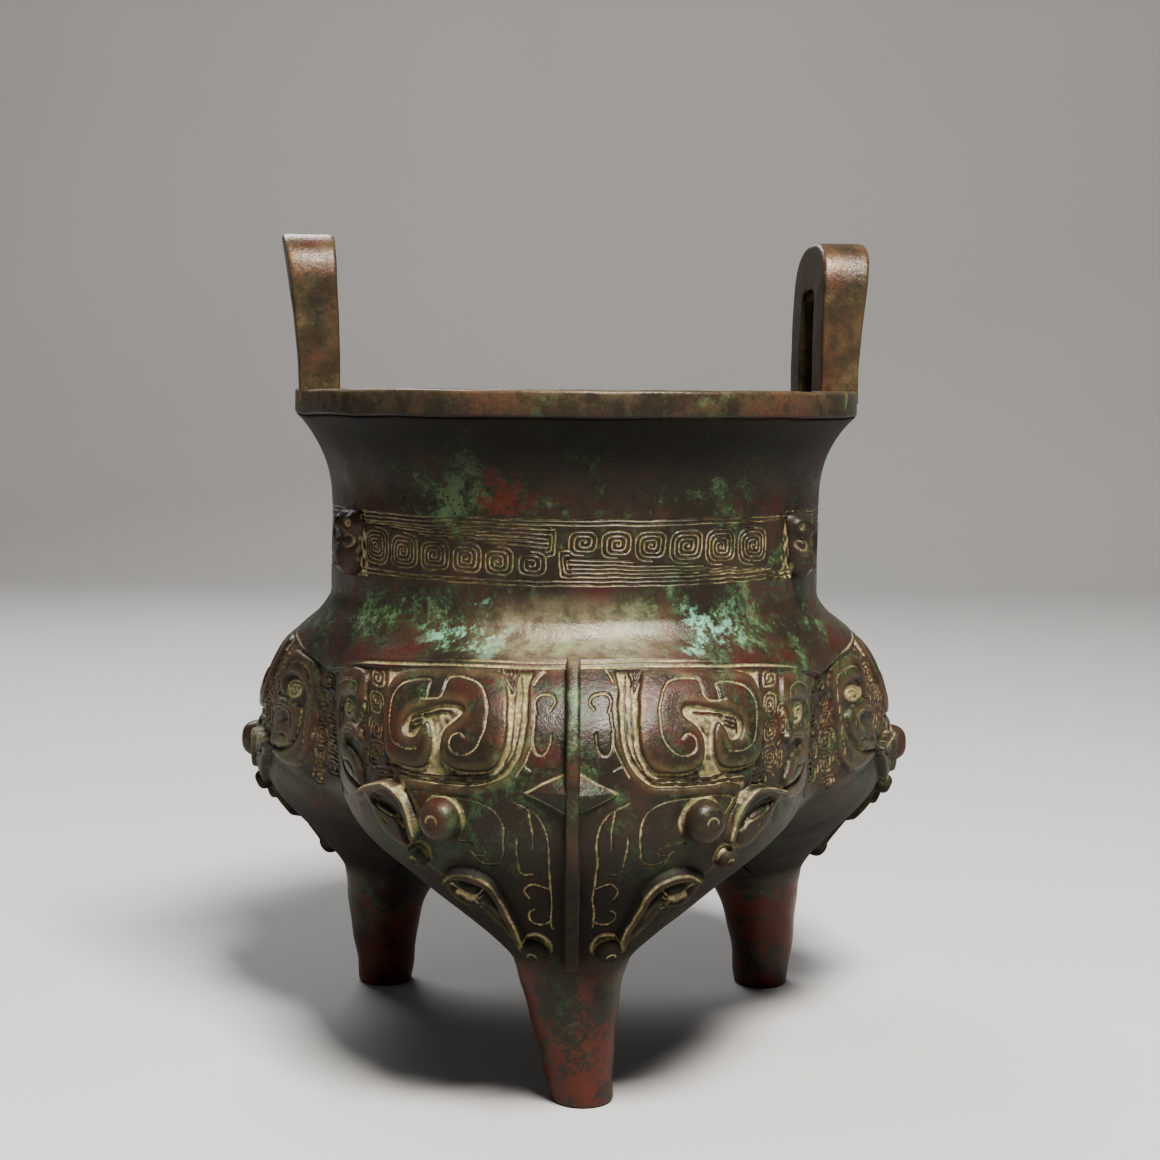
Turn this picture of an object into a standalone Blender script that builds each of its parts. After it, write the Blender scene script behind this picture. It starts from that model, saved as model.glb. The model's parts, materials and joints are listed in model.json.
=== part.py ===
"""Tripod incense burner of cast bronze, about 200 mm high.

One casting: a round neck with a flared lip, a body of three bulging lobes, a tapering leg under each
lobe, two upright loop handles on the lip, a horned mask in relief on each lobe and three small heads
on the neck. It is hollow, with a pocket in the top of each leg.

Origin on the ground under the middle of its box, +Z up. One leg points to -Y and the handles stand at the
two sides. Run it with: blender --background --python part.py
"""

import math

import bmesh
import bpy
from mathutils import Matrix, Vector

# Driving dimensions, in metres and degrees.
FOOT_CIRCLE = 0.0600  # from the axis to the middle of each foot
FOOT_RADIUS = 0.0071
LEG_HEIGHT = 0.0330  # where a leg opens into its lobe
LEG_TOP_RADIUS = 0.0138
LEG_TOP_LEAN = 0.0037  # how far the top of a leg stands in from its foot
FRONT_FOOT_SWAY = 0.0028  # the front leg is bent a little to the right

BELLY_RISE = 0.0350  # from the top of the legs to where the lobes are widest
BELLY_HEIGHT = LEG_HEIGHT + BELLY_RISE
BELLY_RADIUS = 0.0565
LOBE_OFFSET = 0.0310  # from the axis to the middle of a lobe at its widest
SHOULDER_RISE = 0.0410  # from the widest part to the foot of the neck
NECK_FOOT = BELLY_HEIGHT + SHOULDER_RISE
NECK_RADIUS = 0.0617
VALLEY_SOFTNESS = 0.0070
NECK_SOFTNESS = 0.0036
WALL = 0.0040
FLOOR_RISE = 0.0060  # from the top of the legs to the bottom of the hollow over each
POCKET_FLOOR = LEG_HEIGHT + FLOOR_RISE

NECK_RISE = 0.0280  # from the foot of the neck to where it starts to flare
FLARE_START = NECK_FOOT + NECK_RISE
FLARE_RADIUS = 0.0268
MOUTH_RISE = 0.0260  # from there to the top of the lip
LIP_HEIGHT = FLARE_START + MOUTH_RISE
LIP_THICKNESS = 0.0063
LIP_RADIUS = 0.0707
LIP_WIDTH = 0.0117
LIP_BEVEL = 0.0007

HANDLE_HEIGHT = 0.0378  # above the lip
HANDLE_WIDTH = 0.0300
HANDLE_BAR = 0.0096
HANDLE_TOP_BAR = 0.0120
HANDLE_ARCH = 0.0130  # the height of the curved top
HANDLE_DEPTH = 0.0100  # from its inner to its outer face, at the lip
HANDLE_INSET = 0.0010  # of its outer face from the lip's edge
HANDLE_FLARE = 0.0040  # how far the outer face leans outwards
HANDLE_INNER_FLARE = 0.0012
HANDLE_LEAN_POWER = 1.8  # a higher one keeps the lower part upright for longer
HANDLE_BEVEL = 0.0010
HANDLE_TURN = 8.7  # degrees that the pair of handles is turned from square to the front leg
HANDLE_ROOT = 0.0030  # how deep a handle stands in the lip

MASK_FOOT_RISE = 0.0015  # of the masks' lower end above the top of the legs
MASK_FOOT = LEG_HEIGHT + MASK_FOOT_RISE
MASK_TOP_GAP = 0.0050  # between the masks' top edge and the foot of the neck
MASK_TOP = NECK_FOOT - MASK_TOP_GAP
MASK_TOP_DROP = 0.0080  # how much lower the masks' top edge runs in the valleys
RELIEF = 0.0013  # how deep the masks' ground lies below their flat parts
PLATE_ROOT = 0.0012  # how far the raised forms run on below the ground
BEND_STEP = 0.0130  # the flat parts follow the lobe in steps of this width
FLANGE_WIDTH = 0.0032
FLANGE_RISE = 0.0035  # above the masks' flat parts, as are the rises below
LOZENGE_RISE = 0.0036
EAR_RISE = 0.0010
LIP_RISE = 0.0012
EYE_RADIUS = 0.0049
EYE_RISE = 0.0050
NOSTRIL_RADIUS = 0.0031
NOSTRIL_RISE = 0.0036
KNOB_RADIUS = 0.0028
KNOB_RISE = 0.0026

HEAD_HEIGHT = 0.0160
HEAD_WIDTH = 0.0125
HEAD_RISE = 0.0050
HEAD_LIFT = 0.0175  # of a head's middle above the foot of the neck
HEAD_MIDDLE = NECK_FOOT + HEAD_LIFT

LOBES = 3
LOBE_STEPS = 16  # facets across a lobe, an even number
CROTCH_STEPS = 4  # facets on each side of a leg's inner face
SECTOR = math.pi / LOBES

# The mask is drawn in millimetres at this height, then scaled to the lobe.
DRAWN_HEIGHT = 69.5
DRAWN_FOOT = 34.5


def smooth_max(a, b, softness):
    """The larger of two values, rounded off where they are nearly equal."""
    gap = max(0.0, 1.0 - abs(a - b) / softness) if softness > 0 else 0.0
    return max(a, b) + 0.25 * softness * gap * gap


def lobe_section(z):
    """The middle and the radius of a leg's and lobe's round section at a height."""
    if z <= LEG_HEIGHT:
        u = max(0.0, z / LEG_HEIGHT)
        radius = FOOT_RADIUS + (LEG_TOP_RADIUS - FOOT_RADIUS) * (0.6 * u + 0.4 * u**4)
        return FOOT_CIRCLE - LEG_TOP_LEAN * u**4, radius
    if z <= BELLY_HEIGHT:
        u = (z - LEG_HEIGHT) / (BELLY_HEIGHT - LEG_HEIGHT)
        swell = math.sin(0.5 * math.pi * u**1.2)
        draw_in = math.sin(0.5 * math.pi * u**1.15)
        start = FOOT_CIRCLE - LEG_TOP_LEAN
        middle = start + (LOBE_OFFSET - start) * draw_in
        return middle, LEG_TOP_RADIUS + (BELLY_RADIUS - LEG_TOP_RADIUS) * swell
    u = min(1.0, (z - BELLY_HEIGHT) / (NECK_FOOT - BELLY_HEIGHT))
    middle = LOBE_OFFSET * (1.0 - u**2.9)
    return middle, BELLY_RADIUS + (NECK_RADIUS - BELLY_RADIUS) * u * u


def ground_section(z):
    """The same for the sunk ground of the masks, which fades out down the leg."""
    middle, radius = lobe_section(z)
    fade = min(1.0, max(0.0, (z - LEG_HEIGHT) / (0.4 * (BELLY_HEIGHT - LEG_HEIGHT))))
    return middle, radius - RELIEF * fade


def mask_top(turn):
    """The height of the masks' top edge, which dips towards the valleys."""
    return MASK_TOP - MASK_TOP_DROP * (abs(turn) / SECTOR) ** 2.6


def inner_section(z):
    """The same for the hollow, a wall's thickness in from the sides and up from the bottom."""
    lift = 0.6 * WALL * min(1.0, max(0.0, (BELLY_HEIGHT - z) / (BELLY_HEIGHT - LEG_HEIGHT)))
    middle, radius = lobe_section(z - lift)
    return middle, radius - WALL


def closing_height(section):
    """The height at which the three sections first cover the axis."""
    low, high = LEG_HEIGHT, BELLY_HEIGHT
    for _ in range(50):
        z = 0.5 * (low + high)
        middle, radius = section(z)
        low, high = (low, z) if radius > middle else (z, high)
    return 0.5 * (low + high)


def body_radius(turn, z, section, neck, closed):
    """The radius of the body at an angle from a lobe's middle, from the closing height up to the neck."""
    middle, radius = section(min(z, NECK_FOOT))

    def lobe(angle):
        return middle * math.cos(angle) + math.sqrt(
            max(0.0, radius**2 - (middle * math.sin(angle)) ** 2)
        )

    grow = min(1.0, (z - closed) / (BELLY_HEIGHT - closed))
    own, next_one = lobe(turn), lobe(2 * SECTOR - abs(turn))
    joined = smooth_max(own, next_one, VALLEY_SOFTNESS * grow)
    past_foot = 1.5 * (z - NECK_FOOT)
    return smooth_max(joined - max(0.0, past_foot), neck + min(0.0, past_foot), NECK_SOFTNESS * grow)


def ring_angles():
    """(angle round the axis, angle from the nearest lobe's middle), all the way round."""
    found = []
    for lobe in range(LOBES):
        for step in range(LOBE_STEPS):
            turn = SECTOR * (2 * step / LOBE_STEPS - 1)
            found.append((2 * SECTOR * lobe + turn, turn))
    return found


def around(angle, radius, z):
    """A point at an angle from the front leg, which points to -Y, counted towards +X."""
    return Vector((radius * math.sin(angle), -radius * math.cos(angle), z))


def sector_point(lobe, out, side, z):
    """A point given by how far it is out along a lobe's own direction and to the side of it."""
    angle = 2 * SECTOR * lobe
    return Vector(
        (
            out * math.sin(angle) + side * math.cos(angle),
            -out * math.cos(angle) + side * math.sin(angle),
            z,
        )
    )


def crotch_height(turn, section, bottom, closed):
    """The height at which a leg's inner face, at this angle round the leg, meets the next lobe."""
    slope = math.tan(SECTOR)
    low, high = bottom, closed
    for _ in range(50):
        z = 0.5 * (low + high)
        middle, radius = section(z)
        outside = slope * (middle + radius * math.cos(turn)) > radius * abs(math.sin(turn))
        low, high = (z, high) if outside else (low, z)
    return 0.5 * (low + high)


def add_strip(bm, lower, upper, wrap):
    """Faces between two rows of points of equal length."""
    count = len(lower) if wrap else len(lower) - 1
    for i in range(count):
        j = (i + 1) % len(lower)
        bm.faces.new((lower[i], lower[j], upper[j], upper[i]))


def add_pocket(bm, lobe, section, bottom, closed, shares, sway):
    """A leg, or the hollow over it, from its flat end up to where the lobes meet."""
    turns = [2 * SECTOR * (2 * i / LOBE_STEPS - 1) for i in range(LOBE_STEPS + 1)]
    inner = [
        2 * SECTOR + (math.pi - 2 * SECTOR) * (i + 1) / CROTCH_STEPS
        for i in range(2 * CROTCH_STEPS - 1)
    ]
    tops = [closed] * len(turns) + [
        crotch_height(turn, section, bottom, closed) for turn in inner
    ]
    tops[len(turns) + CROTCH_STEPS - 1] = closed
    rows = []
    for share in shares:
        row = []
        for turn, top in zip(turns + inner, tops):
            z = bottom + share * (top - bottom)
            middle, radius = section(z)
            point = sector_point(
                lobe,
                middle + radius * math.cos(turn),
                radius * math.sin(turn),
                z,
            )
            bend = max(0.0, 1.0 - z / LEG_HEIGHT) ** 2 if sway else 0.0
            point.x += FRONT_FOOT_SWAY * bend
            row.append(bm.verts.new(point))
        rows.append(row)
    bm.faces.new(rows[0])
    for lower, upper in zip(rows, rows[1:]):
        add_strip(bm, lower, upper, wrap=True)


def add_lobes(bm, section, neck, closed, heights):
    """Rings of the three lobes. A height can depend on the angle. It returns the rings."""
    rows = []
    for height in heights:
        row = []
        for angle, turn in ring_angles():
            z = height(turn) if callable(height) else height
            row.append(bm.verts.new(around(angle, body_radius(turn, z, section, neck, closed), z)))
        rows.append(row)
    for lower, upper in zip(rows, rows[1:]):
        add_strip(bm, lower, upper, wrap=True)
    return rows


def spread(low, high, count):
    """Evenly spaced values, both ends included."""
    return [low + (high - low) * i / (count - 1) for i in range(count)]


def mouth_profile():
    """The turned outline of neck and lip, as (radius, height), up the outside and down the inside."""
    lip_foot = LIP_HEIGHT - LIP_THICKNESS
    steep = math.asin(min(0.95, (lip_foot - FLARE_START) / FLARE_RADIUS))
    arc = [steep * i / 4 for i in range(5)]
    outside = [
        (NECK_RADIUS + FLARE_RADIUS * (1 - math.cos(a)), FLARE_START + FLARE_RADIUS * math.sin(a))
        for a in arc
    ]
    lip_inside = LIP_RADIUS - LIP_WIDTH
    lip = [
        (LIP_RADIUS, lip_foot + LIP_BEVEL),
        (LIP_RADIUS, LIP_HEIGHT - LIP_BEVEL),
        (LIP_RADIUS - LIP_BEVEL, LIP_HEIGHT),
        (lip_inside + LIP_BEVEL, LIP_HEIGHT),
        (lip_inside, LIP_HEIGHT - LIP_BEVEL),
    ]
    bore = NECK_RADIUS - WALL
    inside = [
        (bore + 0.55 * (lip_inside - bore), lip_foot),
        (bore, FLARE_START + 0.3 * (lip_foot - FLARE_START)),
    ]
    return outside + lip + inside


def make_vessel():
    """The hollow body, neck, lip and legs as one closed skin."""
    bm = bmesh.new()
    closed = closing_height(ground_section)
    sunk = spread(closed, BELLY_HEIGHT, 4)
    for share in spread(0.0, 1.0, 5)[1:]:
        sunk.append(lambda turn, share=share: BELLY_HEIGHT + share * (mask_top(turn) - BELLY_HEIGHT))
    shoulder = [
        lambda turn: mask_top(turn) + 0.3 * RELIEF,
        NECK_FOOT,
        NECK_FOOT + NECK_SOFTNESS,
    ]
    for lobe in range(LOBES):
        shares = (0.0, 0.3, 0.52, 0.65, 0.74, 0.83, 0.92, 1.0)
        add_pocket(bm, lobe, ground_section, 0.0, closed, shares, sway=lobe == 0)
    sunk_rows = add_lobes(bm, ground_section, NECK_RADIUS, closed, sunk)
    shoulder_rows = add_lobes(bm, lobe_section, NECK_RADIUS, closed, shoulder)
    add_strip(bm, sunk_rows[-1], shoulder_rows[0], wrap=True)
    row = shoulder_rows[-1]

    for radius, z in mouth_profile():
        ring = [bm.verts.new(around(angle, radius, z)) for angle, _ in ring_angles()]
        add_strip(bm, row, ring, wrap=True)
        row = ring

    hollow = closing_height(inner_section)
    bore = NECK_RADIUS - WALL
    inner = spread(hollow, BELLY_HEIGHT, 3) + spread(BELLY_HEIGHT, NECK_FOOT, 4)[1:]
    inner_rows = add_lobes(bm, inner_section, bore, hollow, inner)
    add_strip(bm, inner_rows[-1], row, wrap=True)
    for lobe in range(LOBES):
        add_pocket(bm, lobe, inner_section, POCKET_FLOOR, hollow, (0.0, 0.3, 0.65, 1.0), sway=False)

    bmesh.ops.remove_doubles(bm, verts=bm.verts, dist=1e-6)
    bmesh.ops.recalc_face_normals(bm, faces=bm.faces)
    return bm


def on_lobe(across, z, rise):
    """A point of the first lobe's skin: across it from its middle line, up, and out from the skin."""
    middle, radius = lobe_section(z)
    turn = across / radius
    step = 1e-4
    above_middle, above_radius = lobe_section(z + step)
    below_middle, below_radius = lobe_section(z - step)
    slope = (above_middle - below_middle) + (above_radius - below_radius) * math.cos(turn)
    normal_out = Vector((math.sin(turn), -math.cos(turn), -slope / (2 * step)))
    normal_out.normalize()
    foot = Vector((radius * math.sin(turn), -middle - radius * math.cos(turn), z))
    return foot + normal_out * rise, normal_out


def drawn(x, y):
    """A point of the drawn mask, in millimetres, as metres across and up the lobe."""
    scale = (MASK_TOP - MASK_FOOT) / DRAWN_HEIGHT
    return x * scale, MASK_FOOT + (y - DRAWN_FOOT) * scale


def carve_flat(outline, top=0.0, wide=True):
    """A plate with a flat outline, wrapped on the lobe. A wide one is sliced so that it can bend."""
    bm = bmesh.new()
    bm.faces.new([bm.verts.new((*drawn(x, y), 0.0)) for x, y in outline])
    reach = max(abs(v.co.x) for v in bm.verts)
    low = min(v.co.y for v in bm.verts)
    high = max(v.co.y for v in bm.verts)
    cuts = []
    for i in range(-int(reach / BEND_STEP), int(reach / BEND_STEP) + 1):
        cuts.append(((i * BEND_STEP, 0, 0), (1, 0, 0)))
    for i in range(1, int((high - low) / BEND_STEP) + 1):
        cuts.append(((0, low + i * BEND_STEP, 0), (0, 1, 0)))
    for place, direction in cuts if wide else []:
        bmesh.ops.bisect_plane(
            bm,
            geom=bm.verts[:] + bm.edges[:] + bm.faces[:],
            dist=3e-4,
            plane_co=place,
            plane_no=direction,
        )
    bmesh.ops.dissolve_degenerate(bm, dist=7e-4, edges=bm.edges)
    bmesh.ops.triangulate(bm, faces=bm.faces)
    raised = bmesh.ops.extrude_face_region(bm, geom=bm.faces[:])["geom"]
    upper = {item for item in raised if isinstance(item, bmesh.types.BMVert)}
    for vert in bm.verts:
        rise = top if vert in upper else -RELIEF - PLATE_ROOT
        vert.co = on_lobe(vert.co.x, vert.co.y, rise)[0]
    bmesh.ops.recalc_face_normals(bm, faces=bm.faces)
    return bm


def carve_band(spine, widths, top, side):
    """A band of changing half-width along a spine, wrapped on the lobe. side is 1 or -1."""
    bm = bmesh.new()
    rows = []
    for i, (x, y) in enumerate(spine):
        before = Vector(spine[max(0, i - 1)])
        after = Vector(spine[min(len(spine) - 1, i + 1)])
        along = (after - before).normalized() * widths[i]
        rails = [(x - along.y, y + along.x), (x + along.y, y - along.x)]
        corners = [(rails[0], top), (rails[1], top)]
        corners += [(rails[1], -RELIEF - PLATE_ROOT), (rails[0], -RELIEF - PLATE_ROOT)]
        row = []
        for (across, up), rise in corners:
            row.append(bm.verts.new(on_lobe(*drawn(side * across, up), rise)[0]))
        rows.append(row)
    bm.faces.new(rows[0])
    bm.faces.new(rows[-1])
    for lower, upper in zip(rows, rows[1:]):
        add_strip(bm, lower, upper, wrap=True)
    bmesh.ops.recalc_face_normals(bm, faces=bm.faces)
    return bm


def mirrored(outline):
    """The same outline on the other side of the middle line."""
    return [(-x, y) for x, y in reversed(outline)]


HORN = [
    (14.2, 90.0), (14.6, 99.5), (17.0, 102.0), (30.8, 101.6), (41.0, 100.6), (46.5, 97.8),
    (48.4, 91.3), (47.8, 84.2), (45.5, 81.2), (40.0, 80.3), (35.6, 81.2), (33.6, 85.0),
    (33.6, 89.0), (35.0, 91.2), (36.6, 89.2), (37.6, 86.6), (40.2, 87.0), (40.7, 89.6),
    (38.6, 92.0), (33.8, 93.8), (28.6, 94.8), (25.4, 94.2), (25.4, 92.8), (29.4, 89.8),
    (30.4, 86.2), (29.8, 82.6), (26.6, 80.9), (19.2, 81.2), (16.0, 83.6),
]  # fmt: skip
FACE_EDGE = [
    (9.3, 102.6), (11.2, 99.1), (11.7, 92.7), (12.8, 86.4), (15.7, 81.7), (20.3, 79.3),
    (30.5, 78.3), (38.2, 78.2), (38.4, 74.6), (35.6, 70.0), (34.2, 64.0), (32.8, 58.6),
    (30.6, 53.4), (25.5, 50.2), (21.0, 51.6), (17.2, 46.8), (13.4, 40.6), (8.4, 35.9),
]  # fmt: skip
EAR = [
    (54.4, 72.6), (48.2, 74.6), (42.0, 74.8), (38.0, 70.6), (36.6, 65.3), (40.5, 64.2),
    (45.5, 66.6), (50.8, 69.4),
]  # fmt: skip
LIP_SPINE = [(11.2, 40.4), (14.4, 50.2), (18.2, 56.0), (25.0, 57.8), (29.4, 54.8), (26.4, 51.6)]
LIP_WIDTHS = [1.2, 1.5, 1.6, 1.6, 1.5, 1.0]
DRAGON_SPINE = [
    (56.0, 87.6), (55.2, 94.0), (60.2, 96.8), (67.6, 93.0), (70.8, 84.0), (69.0, 74.0),
    (64.6, 69.6), (58.0, 67.4),
]  # fmt: skip
DRAGON_WIDTHS = [1.0, 2.4, 2.9, 3.2, 3.3, 3.1, 2.6, 1.6]
CREST_SPINE = [(59.4, 82.4), (64.6, 84.2), (62.8, 77.6), (57.2, 73.0)]
CREST_WIDTHS = [0.9, 1.8, 1.9, 1.1]
EYE = (29.4, 70.1)
NOSTRIL = (8.0, 39.4)
KNOB = (36.5, 60.6)
LOZENGE = [(9.9, 77.4), (0.0, 82.2), (-9.9, 77.4), (0.0, 72.2)]


def make_plates():
    """The masks' raised flat parts on the first lobe: face, horns, ears, lips and side dragons."""
    face = [(0.0, DRAWN_FOOT)] + FACE_EDGE[::-1] + [(0.0, 103.6)] + [(-x, y) for x, y in FACE_EDGE]
    plates = [carve_flat(face)]
    for outline, top, wide in ((HORN, 0.0, True), (EAR, EAR_RISE, False)):
        plates += [carve_flat(outline, top, wide), carve_flat(mirrored(outline), top, wide)]
    for spine, widths, top in (
        (LIP_SPINE, LIP_WIDTHS, LIP_RISE),
        (DRAGON_SPINE, DRAGON_WIDTHS, 0.0),
        (CREST_SPINE, CREST_WIDTHS, 0.0),
    ):
        plates += [carve_band(spine, widths, top, side) for side in (1, -1)]
    return plates


def make_dome(across, up, radius, rise):
    """A domed boss that stands square on the lobe's skin."""
    bm = bmesh.new()
    root = -RELIEF - PLATE_ROOT
    large = radius > 0.004
    outline = [(1.0, root), (1.0, 0.4 * rise)]
    outline += [(0.9, 0.7 * rise), (0.55, 0.93 * rise)] if large else [(0.65, 0.88 * rise)]
    place, outwards = on_lobe(*drawn(across, up), 0.0)
    turned = outwards.to_track_quat("Z", "Y").to_matrix().to_4x4()
    frame = Matrix.Translation(place) @ turned
    segments = 9 if large else 7
    rings = []
    for share, height in outline:
        ring = []
        for i in range(segments):
            angle = 2 * math.pi * i / segments
            point = Vector((math.cos(angle), math.sin(angle), 0)) * (share * radius)
            ring.append(bm.verts.new(frame @ (point + Vector((0, 0, height)))))
        rings.append(ring)
    tip = bm.verts.new(frame @ Vector((0, 0, rise)))
    bm.faces.new(rings[0])
    for lower, upper in zip(rings, rings[1:]):
        add_strip(bm, lower, upper, wrap=True)
    for i in range(segments):
        bm.faces.new((rings[-1][i], rings[-1][(i + 1) % segments], tip))
    bmesh.ops.recalc_face_normals(bm, faces=bm.faces)
    return bm


def make_flange():
    """The upright fin down the middle of a mask."""
    bm = bmesh.new()
    half, root, top = 0.5 * FLANGE_WIDTH, -RELIEF - PLATE_ROOT, FLANGE_RISE
    rows = []
    for z in spread(MASK_FOOT, MASK_TOP, 8):
        corners = [(-half, root), (half, root), (half, top), (-half, top)]
        rows.append([bm.verts.new(on_lobe(x, z, rise)[0]) for x, rise in corners])
    bm.faces.new(rows[0])
    bm.faces.new(rows[-1])
    for lower, upper in zip(rows, rows[1:]):
        add_strip(bm, lower, upper, wrap=True)
    bmesh.ops.recalc_face_normals(bm, faces=bm.faces)
    return bm


def make_lozenge():
    """The four-sided point on the brow, on each side of the flange."""
    bm = bmesh.new()
    edge = 0.15 * LOZENGE_RISE
    lower = [bm.verts.new(on_lobe(*drawn(x, y), -RELIEF)[0]) for x, y in LOZENGE]
    upper = [bm.verts.new(on_lobe(*drawn(x, y), edge)[0]) for x, y in LOZENGE]
    tip = bm.verts.new(on_lobe(0.0, drawn(0.0, LOZENGE[0][1])[1], LOZENGE_RISE)[0])
    bm.faces.new(lower)
    add_strip(bm, lower, upper, wrap=True)
    for i in range(4):
        bm.faces.new((upper[i], upper[(i + 1) % 4], tip))
    bmesh.ops.recalc_face_normals(bm, faces=bm.faces)
    return bm


def make_head():
    """A small beast's head on the neck, from brow to muzzle, over the first valley."""
    bm = bmesh.new()
    sections = [
        (-0.50, 0.42, 0.34), (-0.42, 0.62, 0.86), (-0.18, 0.74, 1.0), (0.08, 0.78, 0.66),
        (0.28, 1.0, 0.74), (0.44, 0.92, 0.56), (0.50, 0.66, 0.22),
    ]  # fmt: skip
    root = NECK_RADIUS - 0.5 * WALL
    rows = []
    for up, wide, rise in sections:
        half = 0.5 * HEAD_WIDTH * wide
        row = []
        for i in range(5):
            angle = math.pi * i / 4
            side = half * math.cos(angle)
            row.append((side, NECK_RADIUS + HEAD_RISE * rise * math.sin(angle) ** 0.8 - 0.0008))
        row += [(-half, root), (half, root)]
        z = HEAD_MIDDLE + HEAD_HEIGHT * up
        rows.append([bm.verts.new(sector_point(0, out, side, z)) for side, out in row])
    bm.faces.new(rows[0])
    bm.faces.new(rows[-1])
    for lower, upper in zip(rows, rows[1:]):
        add_strip(bm, lower, upper, wrap=True)
    bmesh.ops.rotate(bm, verts=bm.verts, matrix=Matrix.Rotation(SECTOR, 3, "Z"))
    bmesh.ops.recalc_face_normals(bm, faces=bm.faces)
    return bm


def arch_point(share, half, spring, rise):
    """A point along an upright arch: up one leg, over a squared curve and down the other."""
    if share < 0.25:
        return half, share * 4 * spring
    if share > 0.75:
        return -half, (1 - share) * 4 * spring
    angle = math.pi * (share - 0.25) * 2
    squared = 2 / 2.3
    across = math.copysign(abs(math.cos(angle)) ** squared, math.cos(angle))
    return half * across, spring + rise * math.sin(angle) ** squared


def make_handle(side):
    """An upright loop on the lip, thicker and leaning out at its top. side is 1 or -1."""
    bm = bmesh.new()
    outside = LIP_RADIUS - HANDLE_INSET
    inside = outside - HANDLE_DEPTH
    spring = HANDLE_HEIGHT - HANDLE_ARCH + HANDLE_ROOT
    opening = 0.5 * HANDLE_WIDTH - HANDLE_BAR
    places = [0.0, 0.12] + [0.25 + 0.5 * i / 12 for i in range(13)] + [0.88, 1.0]
    bevel = HANDLE_BEVEL
    rows = []
    for along in places:
        outer = Vector(arch_point(along, 0.5 * HANDLE_WIDTH, spring, HANDLE_ARCH))
        inner_rise = HANDLE_ARCH - HANDLE_TOP_BAR + 0.5 * opening
        inner = Vector(arch_point(along, opening, spring - 0.5 * opening, inner_rise))
        inwards = (inner - outer).normalized() * bevel
        corners = [
            (outer, inside + bevel), (outer, outside - bevel), (outer + inwards, outside),
            (inner - inwards, outside), (inner, outside - bevel), (inner, inside + bevel),
            (inner - inwards, inside), (outer + inwards, inside),
        ]  # fmt: skip
        row = []
        for (across, up), radius in corners:
            share = (radius - inside) / HANDLE_DEPTH
            flare = HANDLE_INNER_FLARE + (HANDLE_FLARE - HANDLE_INNER_FLARE) * share
            lean = flare * (max(0.0, up - HANDLE_ROOT) / HANDLE_HEIGHT) ** HANDLE_LEAN_POWER
            z = LIP_HEIGHT - HANDLE_ROOT + up
            row.append(bm.verts.new((side * (radius + lean), across, z)))
        rows.append(row)
    bm.faces.new(rows[0])
    bm.faces.new(rows[-1])
    for lower, upper in zip(rows, rows[1:]):
        add_strip(bm, lower, upper, wrap=True)
    turn = Matrix.Rotation(math.radians(HANDLE_TURN), 3, "Z")
    bmesh.ops.rotate(bm, verts=bm.verts, matrix=turn)
    bmesh.ops.recalc_face_normals(bm, faces=bm.faces)
    return bm


def place(bm, name, turn=0.0):
    """A mesh object from a finished bmesh, turned about the vessel's axis."""
    mesh = bpy.data.meshes.new(name)
    bm.to_mesh(mesh)
    thing = bpy.data.objects.new(name, mesh)
    thing.rotation_euler.z = turn
    bpy.context.scene.collection.objects.link(thing)
    return thing


def bronze():
    """Dark brown bronze with a green cast."""
    material = bpy.data.materials.new("patinated_bronze")
    material.use_nodes = True
    shader = material.node_tree.nodes["Principled BSDF"]
    shader.inputs["Base Color"].default_value = (0.075, 0.066, 0.045, 1.0)
    shader.inputs["Metallic"].default_value = 0.4
    shader.inputs["Roughness"].default_value = 0.38
    return material


def make_relief():
    """Every raised form on the body, one set turned to each lobe."""
    on_one_lobe = [*make_plates(), make_flange(), make_lozenge()]
    for centre, radius, rise in (
        (EYE, EYE_RADIUS, EYE_RISE),
        (NOSTRIL, NOSTRIL_RADIUS, NOSTRIL_RISE),
        (KNOB, KNOB_RADIUS, KNOB_RISE),
    ):
        for side in (1, -1):
            on_one_lobe.append(make_dome(side * centre[0], centre[1], radius, rise))
    on_one_lobe.append(make_head())
    made = []
    for lobe in range(LOBES):
        for index, bm in enumerate(on_one_lobe):
            made.append(place(bm, f"relief_{lobe}_{index}", 2 * SECTOR * lobe))
    made += [place(make_handle(side), f"handle_{side}") for side in (1, -1)]
    return made


def centre_on_origin(burner, forms):
    """Moves the burner and its forms together, so that the box round it stands over the origin."""
    centre = bpy.data.objects.new("centre", None)
    bpy.context.scene.collection.objects.link(centre)
    for thing in [burner, *forms]:
        thing.parent = centre
    graph = bpy.context.evaluated_depsgraph_get()
    box = [Vector(corner) for corner in burner.evaluated_get(graph).bound_box]
    centre.location.x = -0.5 * (min(c.x for c in box) + max(c.x for c in box))
    centre.location.y = -0.5 * (min(c.y for c in box) + max(c.y for c in box))


def clear_scene():
    """Removes the startup objects."""
    for thing in list(bpy.data.objects):
        bpy.data.objects.remove(thing)


def main():
    """The whole burner as one cast solid."""
    clear_scene()
    burner = place(make_vessel(), "incense_burner")
    burner.data.materials.append(bronze())
    raised = bpy.data.collections.new("raised_forms")
    bpy.context.scene.collection.children.link(raised)
    forms = make_relief()
    for form in forms:
        bpy.context.scene.collection.objects.unlink(form)
        raised.objects.link(form)
        form.hide_render = True
        form.display_type = "WIRE"
    join = burner.modifiers.new("cast_as_one", "BOOLEAN")
    join.operation = "UNION"
    join.operand_type = "COLLECTION"
    join.collection = raised
    join.solver = "EXACT"
    for polygon in burner.data.polygons:
        polygon.use_smooth = True
    burner.data.set_sharp_from_angle(angle=math.radians(35))
    centre_on_origin(burner, forms)


main()
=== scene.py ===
import json
import math

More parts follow.
